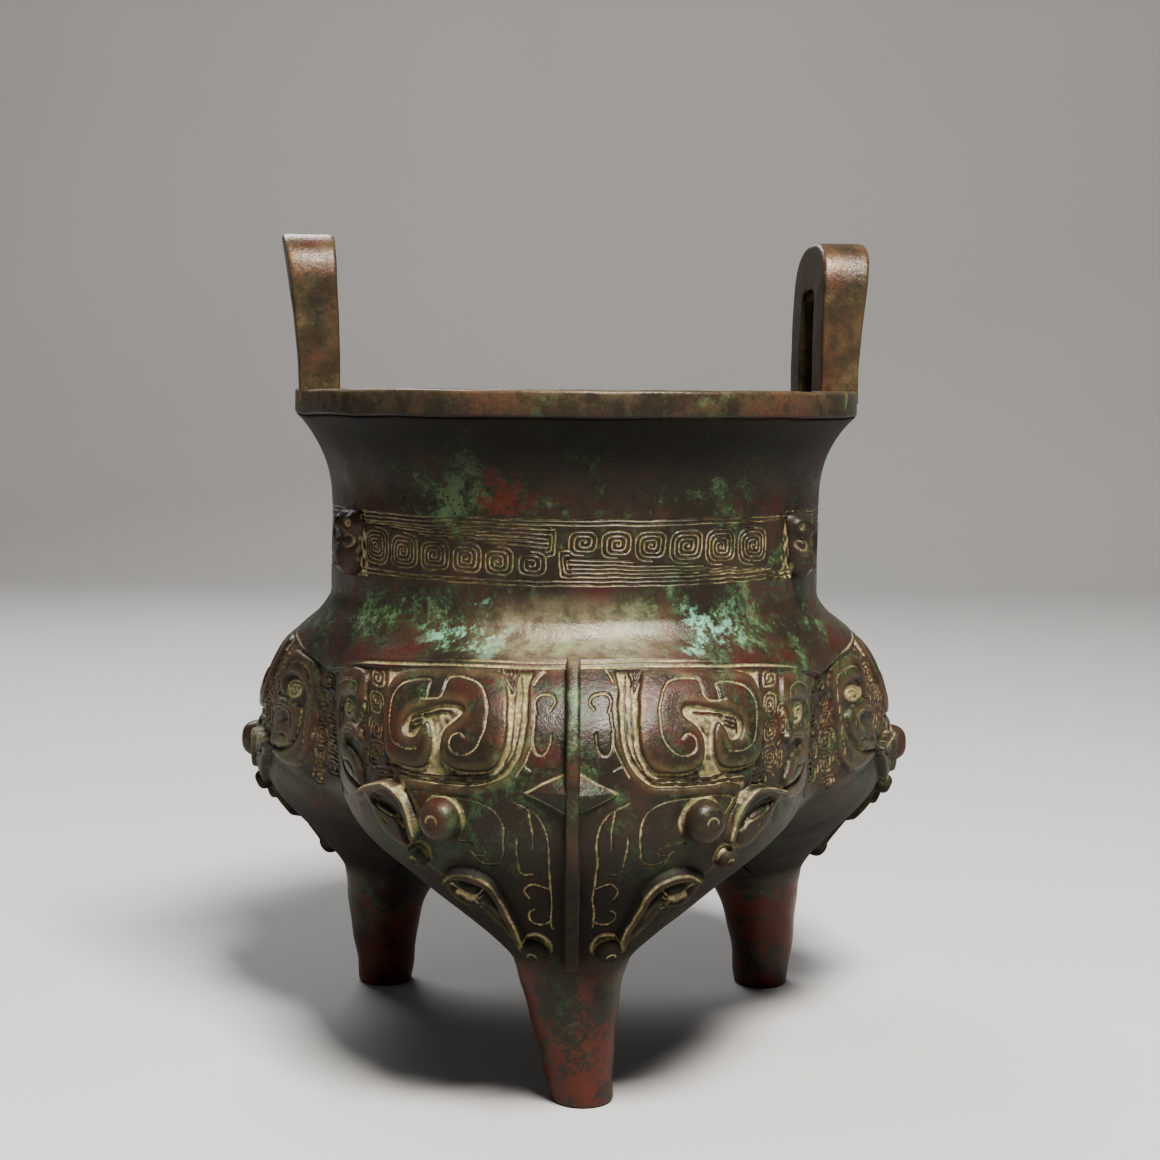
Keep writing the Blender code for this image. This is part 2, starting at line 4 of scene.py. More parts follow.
import bpy
import numpy as np
from bpy.props import FloatProperty, FloatVectorProperty, PointerProperty
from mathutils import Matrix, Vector


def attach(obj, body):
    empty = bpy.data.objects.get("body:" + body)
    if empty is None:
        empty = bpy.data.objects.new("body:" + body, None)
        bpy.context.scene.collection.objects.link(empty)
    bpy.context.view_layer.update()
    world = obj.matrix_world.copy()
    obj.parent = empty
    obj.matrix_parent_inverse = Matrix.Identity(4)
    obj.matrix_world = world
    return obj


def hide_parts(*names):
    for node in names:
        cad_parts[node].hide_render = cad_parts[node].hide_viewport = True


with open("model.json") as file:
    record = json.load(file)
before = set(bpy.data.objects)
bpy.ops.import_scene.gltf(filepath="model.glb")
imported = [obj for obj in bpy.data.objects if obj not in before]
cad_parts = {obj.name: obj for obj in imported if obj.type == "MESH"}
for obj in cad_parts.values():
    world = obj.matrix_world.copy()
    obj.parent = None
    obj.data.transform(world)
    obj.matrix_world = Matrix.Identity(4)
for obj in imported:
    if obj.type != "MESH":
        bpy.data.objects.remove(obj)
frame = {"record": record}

bl_info = {
    "name": "Tripod incense burner",
    "version": (1, 0, 0),
    "blender": (4, 5, 0),
    "location": "View3D > Sidebar > Burner",
    "description": "Makes a cast bronze tripod incense burner with its carved relief and patina",
    "category": "Object",
}

# Sizes of the cast form, in millimetres from the ground and the vessel's axis.
FOOT_CIRCLE, FOOT_RADIUS = 60.0, 7.1
LEG_HEIGHT, LEG_TOP_RADIUS, LEG_TOP_LEAN, FOOT_SWAY = 33.0, 13.8, 3.7, 2.8
BELLY_HEIGHT, BELLY_RADIUS, LOBE_OFFSET = 68.0, 56.5, 31.0
NECK_FOOT, NECK_RADIUS, VALLEY_SOFTNESS, NECK_SOFTNESS = 109.0, 61.7, 7.0, 3.6
WALL, POCKET_FLOOR, FLARE_START, FLARE_RADIUS = 4.0, 39.0, 137.0, 26.8
LIP_HEIGHT, LIP_THICKNESS, LIP_RADIUS, LIP_WIDTH = 163.0, 6.3, 70.7, 11.7
HANDLE_HEIGHT, HANDLE_WIDTH, HANDLE_BAR, HANDLE_TOP_BAR = 37.8, 30.0, 9.6, 12.0
HANDLE_ARCH, HANDLE_DEPTH, HANDLE_INSET, HANDLE_ROOT = 13.0, 10.0, 1.0, 3.0
HANDLE_FLARE, HANDLE_INNER_FLARE, HANDLE_LEAN_POWER, HANDLE_TURN = 4.0, 1.2, 1.8, math.radians(8.7)
MASK_FOOT, MASK_TOP, MASK_TOP_DROP = 34.5, 104.0, 8.0
BAND_LOW, BAND_HIGH = 119.3, 134.1
HEAD_HEIGHT, HEAD_WIDTH, HEAD_RISE, HEAD_MIDDLE = 16.0, 12.5, 5.0, 126.5
FOOT_ROUNDING, LIP_UNDER_ROUNDING, LIP_ROUNDING, HOLLOW_TOP = 0.9, 0.9, 1.0, 112.0
LINE_HALF, BAND_LINE_HALF, BAND_LINE_DEPTH = 0.15, 0.13, 0.42
# Half the length round a lobe's skin at the masks' top edge.
HALF_ACROSS = 88.0

# Half a lobe's share of the turn, and where columns that begin at one end of it come round again.
SECTOR = math.pi / 3
LAST_TURN = 2 * math.pi - SECTOR

# The vessel's axis stands where the three feet are round, which is behind the box's middle.
FEET = [m["pos_m"] for m in frame["record"]["mounts"] if m["name"].startswith("foot")]
AXIS_Y = sum(foot[1] for foot in FEET) / len(FEET)
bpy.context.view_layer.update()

# Columns and rows of the grids that the skins are made of.
FRONT_COLUMNS, REAR_COLUMNS, CROTCH_COLUMNS, MOUTH_COLUMNS, HOLLOW_COLUMNS = 660, 280, 40, 480, 96
FRONT_MASK_ROWS, REAR_MASK_ROWS, FRONT_UNDER_ROWS, REAR_UNDER_ROWS = 208, 150, 56, 36
BAND_ROWS, SHOULDER_ROWS, POCKET_ROWS, SHAFT_ROWS, SHAFT_COLUMNS = 80, 12, 14, 44, 120

# Colours beside those of the settings.
MALACHITE, RUST = (0.125, 0.180, 0.095), (0.125, 0.027, 0.016)
# Painted shade under the lobes, the lip's painted shadow on the neck, and a shoulder bloom that is also a
# painted highlight.
PAINTED_UNDERSIDE_SHADE, PAINTED_LIP_SHADOW, BLOOM_AND_HIGHLIGHT = (0.008, 0.007, 0.006), (0.009, 0.009, 0.006), (0.27, 0.23, 0.15)
GREEN_DEPOSIT, OCHRE_DEPOSIT, BROWN_DEPOSIT = (0.20, 0.23, 0.11), (0.22, 0.165, 0.068), (0.13, 0.10, 0.055)

# The photo's camera: its focal length, the fall of its axis and the picture's width in pixels, then
# where it stands, in metres, and its roll.
FOCAL, AXIS_FALL, PICTURE_WIDTH, SENSOR_WIDTH = 1940.0, 192.0, 1160.0, 36.0
CAMERA_ASIDE, CAMERA_AWAY, CAMERA_HEIGHT, CAMERA_ROLL = 0.0013, 0.495, 0.1635, math.radians(0.4)


class BurnerSettings(bpy.types.PropertyGroup):
    """What a user would change: how deep the casting's relief is, and the colours of its patina."""

    relief: FloatProperty(
        name="Relief depth",
        description="Depth of the masks' sunk ground below their flat parts",
        default=0.0013, min=0.0005, max=0.0025, unit="LENGTH", precision=4,
    )
    line_depth: FloatProperty(
        name="Line depth",
        description="Depth of the lines cut into the flat parts",
        default=0.00045, min=0.0, max=0.001, unit="LENGTH", precision=5,
    )
    thread_rise: FloatProperty(
        name="Thread height",
        description="Height of the thin raised lines of the spirals above the sunk ground",
        default=0.0007, min=0.0, max=0.0013, unit="LENGTH", precision=5,
    )
    waviness: FloatProperty(
        name="Waviness",
        description="How far the cast skin wanders from its true form",
        default=0.00016, min=0.0, max=0.0006, unit="LENGTH", precision=5,
    )
    bronze: FloatVectorProperty(
        name="Bronze", description="The dark brown of the waxed bronze",
        subtype="COLOR", size=3, default=(0.026, 0.021, 0.015), min=0.0, max=1.0,
    )
    brown: FloatVectorProperty(
        name="Warm brown", description="The lighter brown that the bronze wears to",
        subtype="COLOR", size=3, default=(0.052, 0.031, 0.021), min=0.0, max=1.0,
    )
    red_brown: FloatVectorProperty(
        name="Red-brown", description="The red-brown patches of cuprite",
        subtype="COLOR", size=3, default=(0.056, 0.017, 0.0135), min=0.0, max=1.0,
    )
    green: FloatVectorProperty(
        name="Dark green", description="The dark green mottling",
        subtype="COLOR", size=3, default=(0.034, 0.056, 0.027), min=0.0, max=1.0,
    )
    verdigris: FloatVectorProperty(
        name="Verdigris", description="The pale blue-green bloom on the shoulder",
        subtype="COLOR", size=3, default=(0.20, 0.43, 0.31), min=0.0, max=1.0,
    )
    deposit: FloatVectorProperty(
        name="Deposit", description="The pale deposit in the recesses",
        subtype="COLOR", size=3, default=(0.50, 0.43, 0.26), min=0.0, max=1.0,
    )
    gold: FloatVectorProperty(
        name="Worn metal", description="The golden brown of rubbed edges",
        subtype="COLOR", size=3, default=(0.22, 0.165, 0.088), min=0.0, max=1.0,
    )


def settings():
    """The sizes and colours set in the sidebar."""
    return bpy.context.scene.burner


def soft_step(value, low, high):
    """0 below low, 1 above high, and a smooth cubic between."""
    t = np.clip((value - low) / (high - low), 0.0, 1.0)
    return t * t * (3.0 - 2.0 * t)


def smooth_max(a, b, softness):
    """The larger of two values, rounded off by a parabola where they are nearly equal."""
    gap = np.clip(1.0 - np.abs(a - b) / np.maximum(softness, 1e-9), 0.0, None)
    return np.maximum(a, b) + 0.25 * softness * gap * gap


def bell(value, width):
    """1 where a value is 0, falling off both ways by the bell curve of this width."""
    return np.exp(-((value / width) ** 2))


def wander(points, length, seed):
    """Smooth noise of about this wave length, -1 to 1: seven plane waves of mixed directions added."""
    rng = np.random.default_rng(seed)
    directions = rng.normal(size=(7, 3))
    directions /= np.linalg.norm(directions, axis=1)[:, None]
    waves = directions * (2.0 * math.pi / (length * rng.uniform(0.7, 1.5, 7)))[:, None]
    phases = rng.uniform(0.0, 2.0 * math.pi, 7)
    return np.sin(points @ waves.T + phases).sum(axis=-1) / 3.2


def lobe_section(z):
    """Middle and radius of a leg's and lobe's round section: power curves up the leg, quarter sine
    waves to the belly, and power curves in to the neck."""
    z = np.asarray(z, float)
    u = np.clip(z / LEG_HEIGHT, 0.0, 1.0)
    v = np.clip((z - LEG_HEIGHT) / (BELLY_HEIGHT - LEG_HEIGHT), 0.0, 1.0)
    w = np.clip((z - BELLY_HEIGHT) / (NECK_FOOT - BELLY_HEIGHT), 0.0, 1.0)
    leg = FOOT_RADIUS + (LEG_TOP_RADIUS - FOOT_RADIUS) * (0.6 * u + 0.4 * u**4)
    swell = np.sin(0.5 * math.pi * v**1.2)
    draw_in = np.sin(0.5 * math.pi * v**1.15)
    start = FOOT_CIRCLE - LEG_TOP_LEAN
    over_leg = start + (LOBE_OFFSET - start) * draw_in
    middle = np.where(z <= LEG_HEIGHT, FOOT_CIRCLE - LEG_TOP_LEAN * u**4, over_leg)
    middle = np.where(z > BELLY_HEIGHT, LOBE_OFFSET * (1.0 - w**2.9), middle)
    radius = np.where(z <= LEG_HEIGHT, leg, LEG_TOP_RADIUS + (BELLY_RADIUS - LEG_TOP_RADIUS) * swell)
    radius = np.where(z > BELLY_HEIGHT, BELLY_RADIUS + (NECK_RADIUS - BELLY_RADIUS) * w * w, radius)
    return middle, radius


def inner_section(z):
    """The same for the hollow, a wall's thickness in and a little higher."""
    lift = 0.6 * WALL * np.clip((BELLY_HEIGHT - z) / (BELLY_HEIGHT - LEG_HEIGHT), 0.0, 1.0)
    middle, radius = lobe_section(z - lift)
    return middle, radius - WALL


def closing_height(section):
    """The height where a section's radius first equals its middle, found by halving."""
    low, high = LEG_HEIGHT, BELLY_HEIGHT
    for _ in range(50):
        z = 0.5 * (low + high)
        middle, radius = section(z)
        low, high = (low, z) if radius > middle else (z, high)
    return 0.5 * (low + high)


def mask_top(turn):
    """The height of the masks' top edge, which dips towards the valleys by a power of the angle."""
    return MASK_TOP - MASK_TOP_DROP * (np.abs(turn) / SECTOR) ** 2.6


def body_radius(turn, z, section, neck, closed):
    """Radius from the axis: the smooth larger of the two nearest lobes' circles and the neck's."""
    middle, radius = section(np.minimum(z, NECK_FOOT))

    def circle(angle):
        under = np.clip(radius**2 - (middle * np.sin(angle)) ** 2, 0.0, None)
        return middle * np.cos(angle) + np.sqrt(under)

    grow = np.clip((z - closed) / (BELLY_HEIGHT - closed), 0.0, 1.0)
    joined = smooth_max(circle(turn), circle(2 * SECTOR - np.abs(turn)), VALLEY_SOFTNESS * grow)
    past = 1.5 * (z - NECK_FOOT)
    return smooth_max(joined - np.maximum(0.0, past), neck + np.minimum(0.0, past), NECK_SOFTNESS * grow)


def around(angle, radius, z):
    """Points on a turned form: angle from the front leg, counted towards +X, then radius and height."""
    return np.stack([radius * np.sin(angle), -radius * np.cos(angle), z + 0.0 * angle], axis=-1)


def turned(points, angle):
    """Points turned about the axis."""
    c, s = math.cos(angle), math.sin(angle)
    x, y = points[..., 0], points[..., 1]
    return np.stack([c * x - s * y, s * x + c * y, points[..., 2]], axis=-1)


def unit(vectors):
    """Vectors of length one."""
    return vectors / np.maximum(np.linalg.norm(vectors, axis=-1, keepdims=True), 1e-12)


def skin_point(turn, z, closed):
    """A point of the plain lobes and neck at an angle from a lobe's middle and a height."""
    return around(turn, body_radius(turn, z, lobe_section, NECK_RADIUS, closed), z)


def section_point(turn, z, section):
    """A point of the front lobe's or leg's round section, by the angle round its own middle."""
    middle, radius = section(z)
    return np.stack([radius * np.sin(turn), -middle - radius * np.cos(turn), z + 0.0 * turn], axis=-1)


def lobe_point(turn, z):
    """The same on the outer skin."""
    return section_point(turn, z, lobe_section)


def normal_of(point, turn, z):
    """The outward normal of a skin: the cross product of small steps round it and up it."""
    across = point(turn + 1e-3, z) - point(turn - 1e-3, z)
    up = point(turn, z + 0.05) - point(turn, z - 0.05)
    return unit(np.cross(across, up))


def on_lobe(across, z, rise):
    """A point of the front lobe's skin, arc length across it, up, and out along its normal."""
    across, z = np.broadcast_arrays(np.asarray(across, float), np.asarray(z, float))
    turn = across / lobe_section(z)[1]
    normal = normal_of(lobe_point, turn, z)
    return lobe_point(turn, z) + normal * np.asarray(rise)[..., None], normal


def curve(points, closed=False, steps=6):
    """A smooth line through points: each span is a Catmull-Rom cubic of four neighbours."""
    p = np.asarray(points, float)
    if closed:
        before, after, last = np.roll(p, 1, 0), np.roll(p, -1, 0), np.roll(p, -2, 0)
    else:
        before = np.vstack([p[:1], p[:-2]])
        after, last = p[1:], np.vstack([p[2:], p[-1:]])
        p = p[:-1]
    t = (np.arange(steps) / steps)[None, :, None]
    a, b, c, d = before[:, None], p[:, None], after[:, None], last[:, None]
    line = 0.5 * (
        2 * b + (c - a) * t + (2 * a - 5 * b + 4 * c - d) * t**2 + (3 * b - a - 3 * c + d) * t**3
    )
    line = line.reshape(-1, 2)
    return np.vstack([line, line[:1] if closed else after[-1:]])


def squared(wave, power):
    """A cosine or sine raised to a power, its sign kept: a power under one squares the curve it draws."""
    return np.sign(wave) * np.abs(wave) ** power


def round_spiral(cx, cy, wide, high, turns, start=0.0, sense=1.0):
    """A rounded square spiral about a middle, whose half sizes shrink evenly with the angle."""
    angle = np.linspace(0.0, 2.0 * math.pi * turns, int(26 * turns) + 2)
    grow = 1.0 - angle / angle[-1]
    a = start + sense * angle
    x = wide * grow * squared(np.cos(a), 0.56)
    y = high * grow * squared(np.sin(a), 0.56)
    return np.stack([cx + x, cy + y], axis=-1)


def to_segment(x, y, start, end):
    """For each point the share along a segment of the nearest place on it, and how far that is."""
    (ax, ay), (bx, by) = start, end
    dx, dy = bx - ax, by - ay
    share = ((x - ax) * dx + (y - ay) * dy) / max(dx * dx + dy * dy, 1e-12)
    share = np.clip(share, 0.0, 1.0)
    return share, np.hypot(x - ax - share * dx, y - ay - share * dy)


class Carving:
    """A skin being carved: for each of its points where it lies across and up, how high it stands
    over the flat parts, and how much pale deposit, in places a painted highlight, and worn metal it shows."""

    def __init__(self, across, up, ground):
        self.across, self.up = across.ravel(), up.ravel()
        self.ground = np.broadcast_to(ground, across.shape).ravel().copy()
        self.height = self.ground.copy()
        self.deposit = np.zeros_like(self.height)
        self.worn = np.zeros_like(self.height)

    def within(self, line, reach):
        """The points within reach of a line's box, and where they lie."""
        low, high = line.min(axis=0) - reach, line.max(axis=0) + reach
        inside = (self.across > low[0]) & (self.across < high[0])
        inside &= (self.up > low[1]) & (self.up < high[1])
        index = np.nonzero(inside)[0]
        return index, self.across[index], self.up[index]

    def near(self, line, reach):
        """The points within reach of a line's box, and their distance to the nearest of its segments."""
        index, x, y = self.within(line, reach)
        best = np.full(len(index), 1e9)
        for start, end in zip(line[:-1], line[1:]):
            best = np.minimum(best, to_segment(x, y, start, end)[1])
        return index, best

    def pale(self, share, index=slice(None)):
        """Lets at least this much pale show: deposit, and in places a painted highlight."""
        self.deposit[index] = np.maximum(self.deposit[index], share)

    def rub(self, share, index):
        """Lets at least this much worn metal show."""
        self.worn[index] = np.maximum(self.worn[index], share)

    def depth_inside(self, outline, reach):
        """The points near a closed outline, and how deep each lies in it (negative outside)."""
        index, distance = self.near(outline, reach)
        x, y = self.across[index], self.up[index]
        crossings = np.zeros(len(index), int)
        for (ax, ay), (bx, by) in zip(outline[:-1], outline[1:]):
            if ay != by:
                spans = (ay > y) != (by > y)
                crossings += spans & (x < ax + (y - ay) * (bx - ax) / (by - ay))
        return index, np.where(crossings % 2 == 1, distance, -distance)

    def plate(self, outline, level, edge, crown=0.0, spread=8.0):
        """Raises a flat part to a level, its edge a quarter round, its middle a little crowned."""
        index, depth = self.depth_inside(outline, 1.6)
        depth = depth + 0.1
        share = np.clip(depth / edge, 0.0, 1.0)
        rise = np.sqrt(1.0 - (1.0 - share) ** 2)
        top = level + crown * soft_step(depth, 0.0, spread)
        target = self.height[index] + (top - self.height[index]) * rise
        raised = share > 0
        self.height[index[raised]] = target[raised]
        self.pale(soft_step(depth, -1.3, -0.2) * soft_step(self.deposit[index], 0.1, 0.4), index)
        self.deposit[index] *= 1.0 - soft_step(depth, -0.1, 0.4 * edge)
        worn = 0.5 * soft_step(self.up[index], MASK_FOOT + 1.0, MASK_FOOT + 5.0)
        worn = worn * soft_step(depth, 0.1, edge) * (1 - soft_step(depth, edge, 2.5 * edge))
        self.rub(worn, index)

    def cut(self, line, half, depth, pale=0.9):
        """Cuts a round-bottomed line and fills it with deposit."""
        index, distance = self.near(line, half + 0.5)
        share = 1.0 - soft_step(distance, 0.3 * half, half + 0.2)
        self.height[index] -= depth * share
        self.pale(pale * soft_step(share, 0.15, 0.75), index)

    def brush(self, line, half, pale):
        """Paints pale along a line without changing the form: deposit, and painted highlights along lit
        upper edges.
        """
        index, distance = self.near(line, half + 0.6)
        share = 1.0 - soft_step(distance, 0.4 * half, half + 0.4)
        self.pale(pale * share, index)

    def thread(self, line, half, level):
        """Raises a thin round-topped line to a level over the sunk ground."""
        index, distance = self.near(line, half + 0.4)
        share = 1.0 - soft_step(distance, 0.3 * half, half + 0.2)
        self.height[index] = np.maximum(self.height[index], self.ground[index] + level * share)
        self.deposit[index] *= 1.0 - soft_step(share, 0.15, 0.7)

    def ridge(self, line, widths, rise, flat=0.35):
        """A rounded band whose half-width changes along it, raised over what it lies on."""
        index, x, y = self.within(line, float(np.max(widths)) + 0.6)
        best = np.full(len(index), -1e9)
        for start, end, wide, next_wide in zip(line[:-1], line[1:], widths[:-1], widths[1:]):
            share, distance = to_segment(x, y, start, end)
            best = np.maximum(best, 1.0 - distance / (wide + (next_wide - wide) * share))
        share = np.clip(best / (1.0 - flat), 0.0, 1.0)
        height = np.sqrt(1.0 - (1.0 - share) ** 2)
        covered = share > 0
        sunk = np.minimum(self.height[index], 0.0)
        target = np.maximum(self.height[index], sunk * (1 - height) + rise * height)
        self.height[index[covered]] = target[covered]
        self.deposit[index] *= 1.0 - soft_step(best, 0.05, 0.4)
        self.rub(0.3 * soft_step(best, 0.6, 0.95), index)


# The drawing of the masks, in millimetres across from the middle line and up from the ground.
HORN = [
    (14.2, 90.0), (14.6, 99.5), (17.0, 102.0), (30.8, 101.6), (41.0, 100.6), (46.5, 97.8),
    (48.4, 91.3), (47.8, 84.2), (45.5, 81.2), (40.0, 80.3), (35.2, 81.2), (33.0, 85.0),
    (32.9, 88.6), (34.2, 91.0), (36.2, 89.4), (37.6, 87.0), (40.0, 87.0), (40.8, 89.4),
    (38.8, 91.8), (34.4, 93.4), (28.6, 94.6), (25.4, 94.3), (25.2, 92.9), (28.4, 90.6),
    (30.6, 87.6), (30.5, 83.6), (28.0, 81.4), (24.0, 80.8), (19.2, 81.2), (16.0, 83.6),
]  # fmt: skip
FACE_EDGE = [
    (8.8, 102.6), (9.9, 99.1), (10.3, 92.7), (11.0, 87.0), (13.5, 81.5), (18.5, 78.5),
    (27.0, 77.6), (39.5, 77.2), (39.8, 74.2), (37.6, 70.0), (37.6, 64.0), (35.8, 58.6),
    (31.6, 55.4), (28.4, 51.0), (23.5, 51.6), (17.9, 47.8), (13.4, 40.6), (8.4, 35.9),
]  # fmt: skip
LIP_EDGE = [
    (10.6, 41.3), (13.6, 50.5), (16.8, 56.2), (20.2, 58.2), (26.0, 58.8), (30.2, 57.4), (30.6, 55.0),
    (28.6, 51.2), (25.4, 48.6), (22.0, 48.4), (19.6, 46.0), (16.5, 42.6), (12.6, 38.6),
]  # fmt: skip
EAR = [
    (55.6, 72.8), (50.2, 74.8), (44.0, 75.2), (39.6, 72.6), (37.6, 68.6), (36.4, 64.4),
    (39.6, 61.8), (44.4, 62.8), (49.2, 66.0), (52.6, 69.6),
]  # fmt: skip
DRAGON = [
    (61.2, 87.2), (59.4, 88.4), (57.7, 91.0), (56.7, 93.8), (55.9, 96.2), (55.9, 97.8), (57.9, 98.5),
    (61.5, 98.5), (67.9, 97.4), (73.6, 95.4), (76.4, 91.4), (77.4, 86.0), (77.4, 79.6), (76.0, 74.0),
    (72.0, 70.6), (66.0, 70.0), (61.0, 70.6), (57.6, 72.2), (59.7, 73.0), (64.7, 73.6), (68.6, 75.1),
    (71.2, 77.3), (73.0, 79.8), (73.5, 82.4), (73.6, 86.0), (73.0, 88.8), (70.6, 91.0), (67.0, 92.3),
    (63.3, 92.7), (61.2, 92.3), (60.9, 91.0), (62.4, 89.2), (62.8, 87.8),
]  # fmt: skip
CREST = [
    (72.8, 83.4), (70.9, 84.8), (65.9, 86.0), (61.4, 86.2), (58.8, 85.2), (58.4, 83.8), (60.0, 82.8),
    (62.2, 83.4), (64.8, 83.6), (66.8, 82.8), (66.9, 81.4), (64.2, 80.3), (60.8, 79.0), (58.8, 77.2),
    (57.6, 75.0), (57.8, 73.4), (60.2, 73.4), (64.7, 74.0), (68.2, 75.6), (70.6, 77.6), (72.3, 80.0),
]  # fmt: skip
HORN_LINES = [
    [(35.8, 95.2), (33.2, 95.3), (31.2, 95.6), (29.7, 96.8), (28.9, 98.8)],
    [(34.4, 95.3), (33.4, 98.6)],
    [(33.4, 98.8), (35.0, 99.0), (38.0, 98.6), (42.0, 97.2), (44.6, 94.8), (45.5, 91.6), (45.2, 87.6),
     (43.8, 85.3), (40.2, 84.2), (36.8, 84.8)],
    [(28.9, 98.8), (27.8, 99.6), (23.9, 99.7), (20.9, 98.8), (19.4, 96.4), (19.2, 92.6), (20.2, 88.2),
     (22.0, 85.7), (24.4, 84.6), (27.0, 84.9), (28.2, 86.4), (27.6, 88.2), (25.8, 88.9), (24.4, 88.0)],
]  # fmt: skip
FACE_LINES = [
    [(38.4, 74.6), (35.1, 75.2), (30.9, 75.4), (23.4, 75.3), (19.6, 74.6), (16.8, 73.0), (15.3, 70.6),
     (14.8, 67.0), (14.9, 63.0), (15.9, 61.2), (18.2, 60.6), (20.2, 60.8)],
    [(25.2, 65.4), (23.2, 65.3), (20.6, 65.0), (19.2, 63.8), (19.6, 62.5), (21.4, 62.3), (22.8, 63.2),
     (21.6, 61.9), (20.6, 60.9)],
    [(38.4, 74.6), (36.6, 72.2), (35.4, 70.4)],
    [(12.6, 75.4), (9.9, 74.0), (7.3, 72.2), (5.8, 69.6), (5.1, 66.0), (4.9, 60.0), (4.7, 53.0),
     (4.6, 46.2), (4.0, 44.4)],
    [(9.6, 73.8), (8.9, 71.6), (8.5, 69.0), (8.3, 65.0)],
    [(11.8, 67.4), (11.6, 64.8), (11.3, 61.4), (10.9, 59.3), (9.8, 58.6), (8.4, 58.8)],
    [(4.9, 55.1), (6.5, 55.9), (8.3, 56.4), (9.8, 55.6), (10.3, 54.2), (9.4, 52.5)],
    [(8.6, 49.5), (9.8, 48.4), (9.4, 46.5), (7.8, 45.6), (5.8, 45.8), (4.6, 46.8)],
]  # fmt: skip
BROW_LINES = [
    [(8.6, 99.4), (7.6, 101.2), (5.6, 102.2), (3.0, 102.4)],
    [(8.0, 93.6), (8.4, 96.0), (7.0, 97.4), (4.4, 97.2), (3.6, 95.8), (4.8, 94.2)],
    [(8.5, 93.6), (8.9, 90.0), (9.2, 86.4)],
    [(8.6, 89.8), (8.7, 87.4), (7.7, 85.7), (6.2, 85.6), (5.1, 87.2), (5.1, 89.2)],
    [(9.4, 86.0), (10.4, 83.6), (12.2, 80.6)],
    [(10.2, 83.0), (8.8, 82.2)],
]  # fmt: skip
EAR_LINES = [
    [(51.2, 71.4), (48.4, 69.6), (45.6, 68.8), (42.4, 68.2)],
    [(43.2, 68.9), (42.2, 67.4), (40.8, 66.2)],
    [(47.0, 67.6), (45.8, 66.8)],
]
DRAGON_LINES = [
    [(59.9, 93.4), (59.9, 94.9), (61.7, 95.8), (65.7, 95.6), (71.0, 94.2), (74.2, 91.0), (75.3, 86.0),
     (75.2, 79.6), (73.8, 74.6)],
    [(67.8, 77.4), (67.2, 75.3), (64.2, 74.3), (60.9, 74.2), (61.8, 76.2), (64.9, 77.6), (67.8, 77.4)],
    [(70.2, 80.4), (69.2, 83.0), (66.5, 84.4), (63.0, 84.8), (60.6, 84.4)],
]  # fmt: skip
JAW_LINES = [
    [(20.6, 52.6), (24.0, 52.2), (26.6, 53.4), (28.4, 55.0)],
    [(20.0, 54.0), (21.6, 53.2), (22.0, 51.4), (20.2, 49.6), (21.6, 48.9)],
]
JAW_HOLLOW = [(13.8, 43.6), (16.8, 50.6), (20.6, 55.0), (25.4, 55.4)]
JAW_ROLL = [(11.0, 39.6), (14.4, 49.4), (17.8, 55.6), (22.0, 57.6), (26.6, 57.8), (29.6, 56.0)]
JAW_CURL = [(29.4, 55.6), (28.2, 52.6), (25.8, 50.4), (23.0, 50.2), (21.2, 51.6), (21.4, 53.4)]
EAR_HOLLOW = [(50.6, 71.6), (46.4, 71.0), (42.6, 69.4), (40.4, 66.6), (39.6, 64.2)]
EAR_ROLL = [(55.4, 72.8), (50.0, 74.6), (44.4, 75.0), (40.4, 72.6), (38.2, 68.6), (37.2, 65.2)]
# The eye, the snout's and the cheek's boss: middle across and up, radius, height, radius of the ring.
BOSSES = [(29.4, 70.1, 4.9, 5.0, 1.35), (8.0, 39.4, 3.2, 3.6, 1.0), (36.5, 60.8, 2.7, 2.5, 0.7)]
CHANNEL_THREAD = [
    (12.0, 100.6), (12.1, 95.0), (12.4, 90.0), (13.2, 86.0), (15.6, 81.6), (19.2, 79.6), (24.0, 79.2),
    (31.0, 78.8), (38.0, 78.6), (43.0, 78.4),
]  # fmt: skip
SPIRALS = [
    # middle across, middle up, half width, half height, turns, start in quarter turns, sense:
    # between the horn and the side dragon
    (51.6, 98.1, 2.9, 1.9, 2.1, 1, 1), (52.2, 92.7, 2.9, 2.7, 2.9, 2, -1),
    (52.2, 87.1, 2.9, 2.6, 2.8, 0, 1), (52.0, 81.3, 3.1, 2.9, 3.1, 2, -1),
    (48.2, 77.0, 5.4, 1.5, 1.7, 0, 1), (56.8, 90.8, 1.3, 1.9, 1.4, 1, 1),
    # in the dragon's two hollows
    (66.8, 89.0, 3.2, 1.9, 1.9, 0, 1), (56.6, 80.6, 1.6, 3.4, 1.6, 1, 1),
    (57.8, 86.9, 1.7, 1.7, 1.5, 1, -1),
    # the columns by the valley
    (80.4, 93.0, 2.3, 2.0, 2.2, 1, 1), (80.3, 88.6, 2.2, 2.1, 2.2, 0, -1),
    (80.4, 84.1, 2.2, 2.1, 2.2, 1, 1), (80.5, 79.0, 2.5, 2.7, 2.8, 2, -1),
    (80.2, 73.2, 2.6, 2.8, 3.0, 0, 1), (79.4, 68.0, 2.4, 2.0, 2.2, 2, -1),
    (85.2, 91.2, 2.2, 2.1, 2.2, 1, -1), (85.2, 86.6, 2.2, 2.2, 2.3, 0, 1),
    (85.4, 81.8, 2.3, 2.4, 2.4, 2, -1), (85.6, 76.6, 2.4, 2.5, 2.6, 0, 1),
    (85.2, 71.4, 2.3, 2.4, 2.4, 2, -1),
]  # fmt: skip


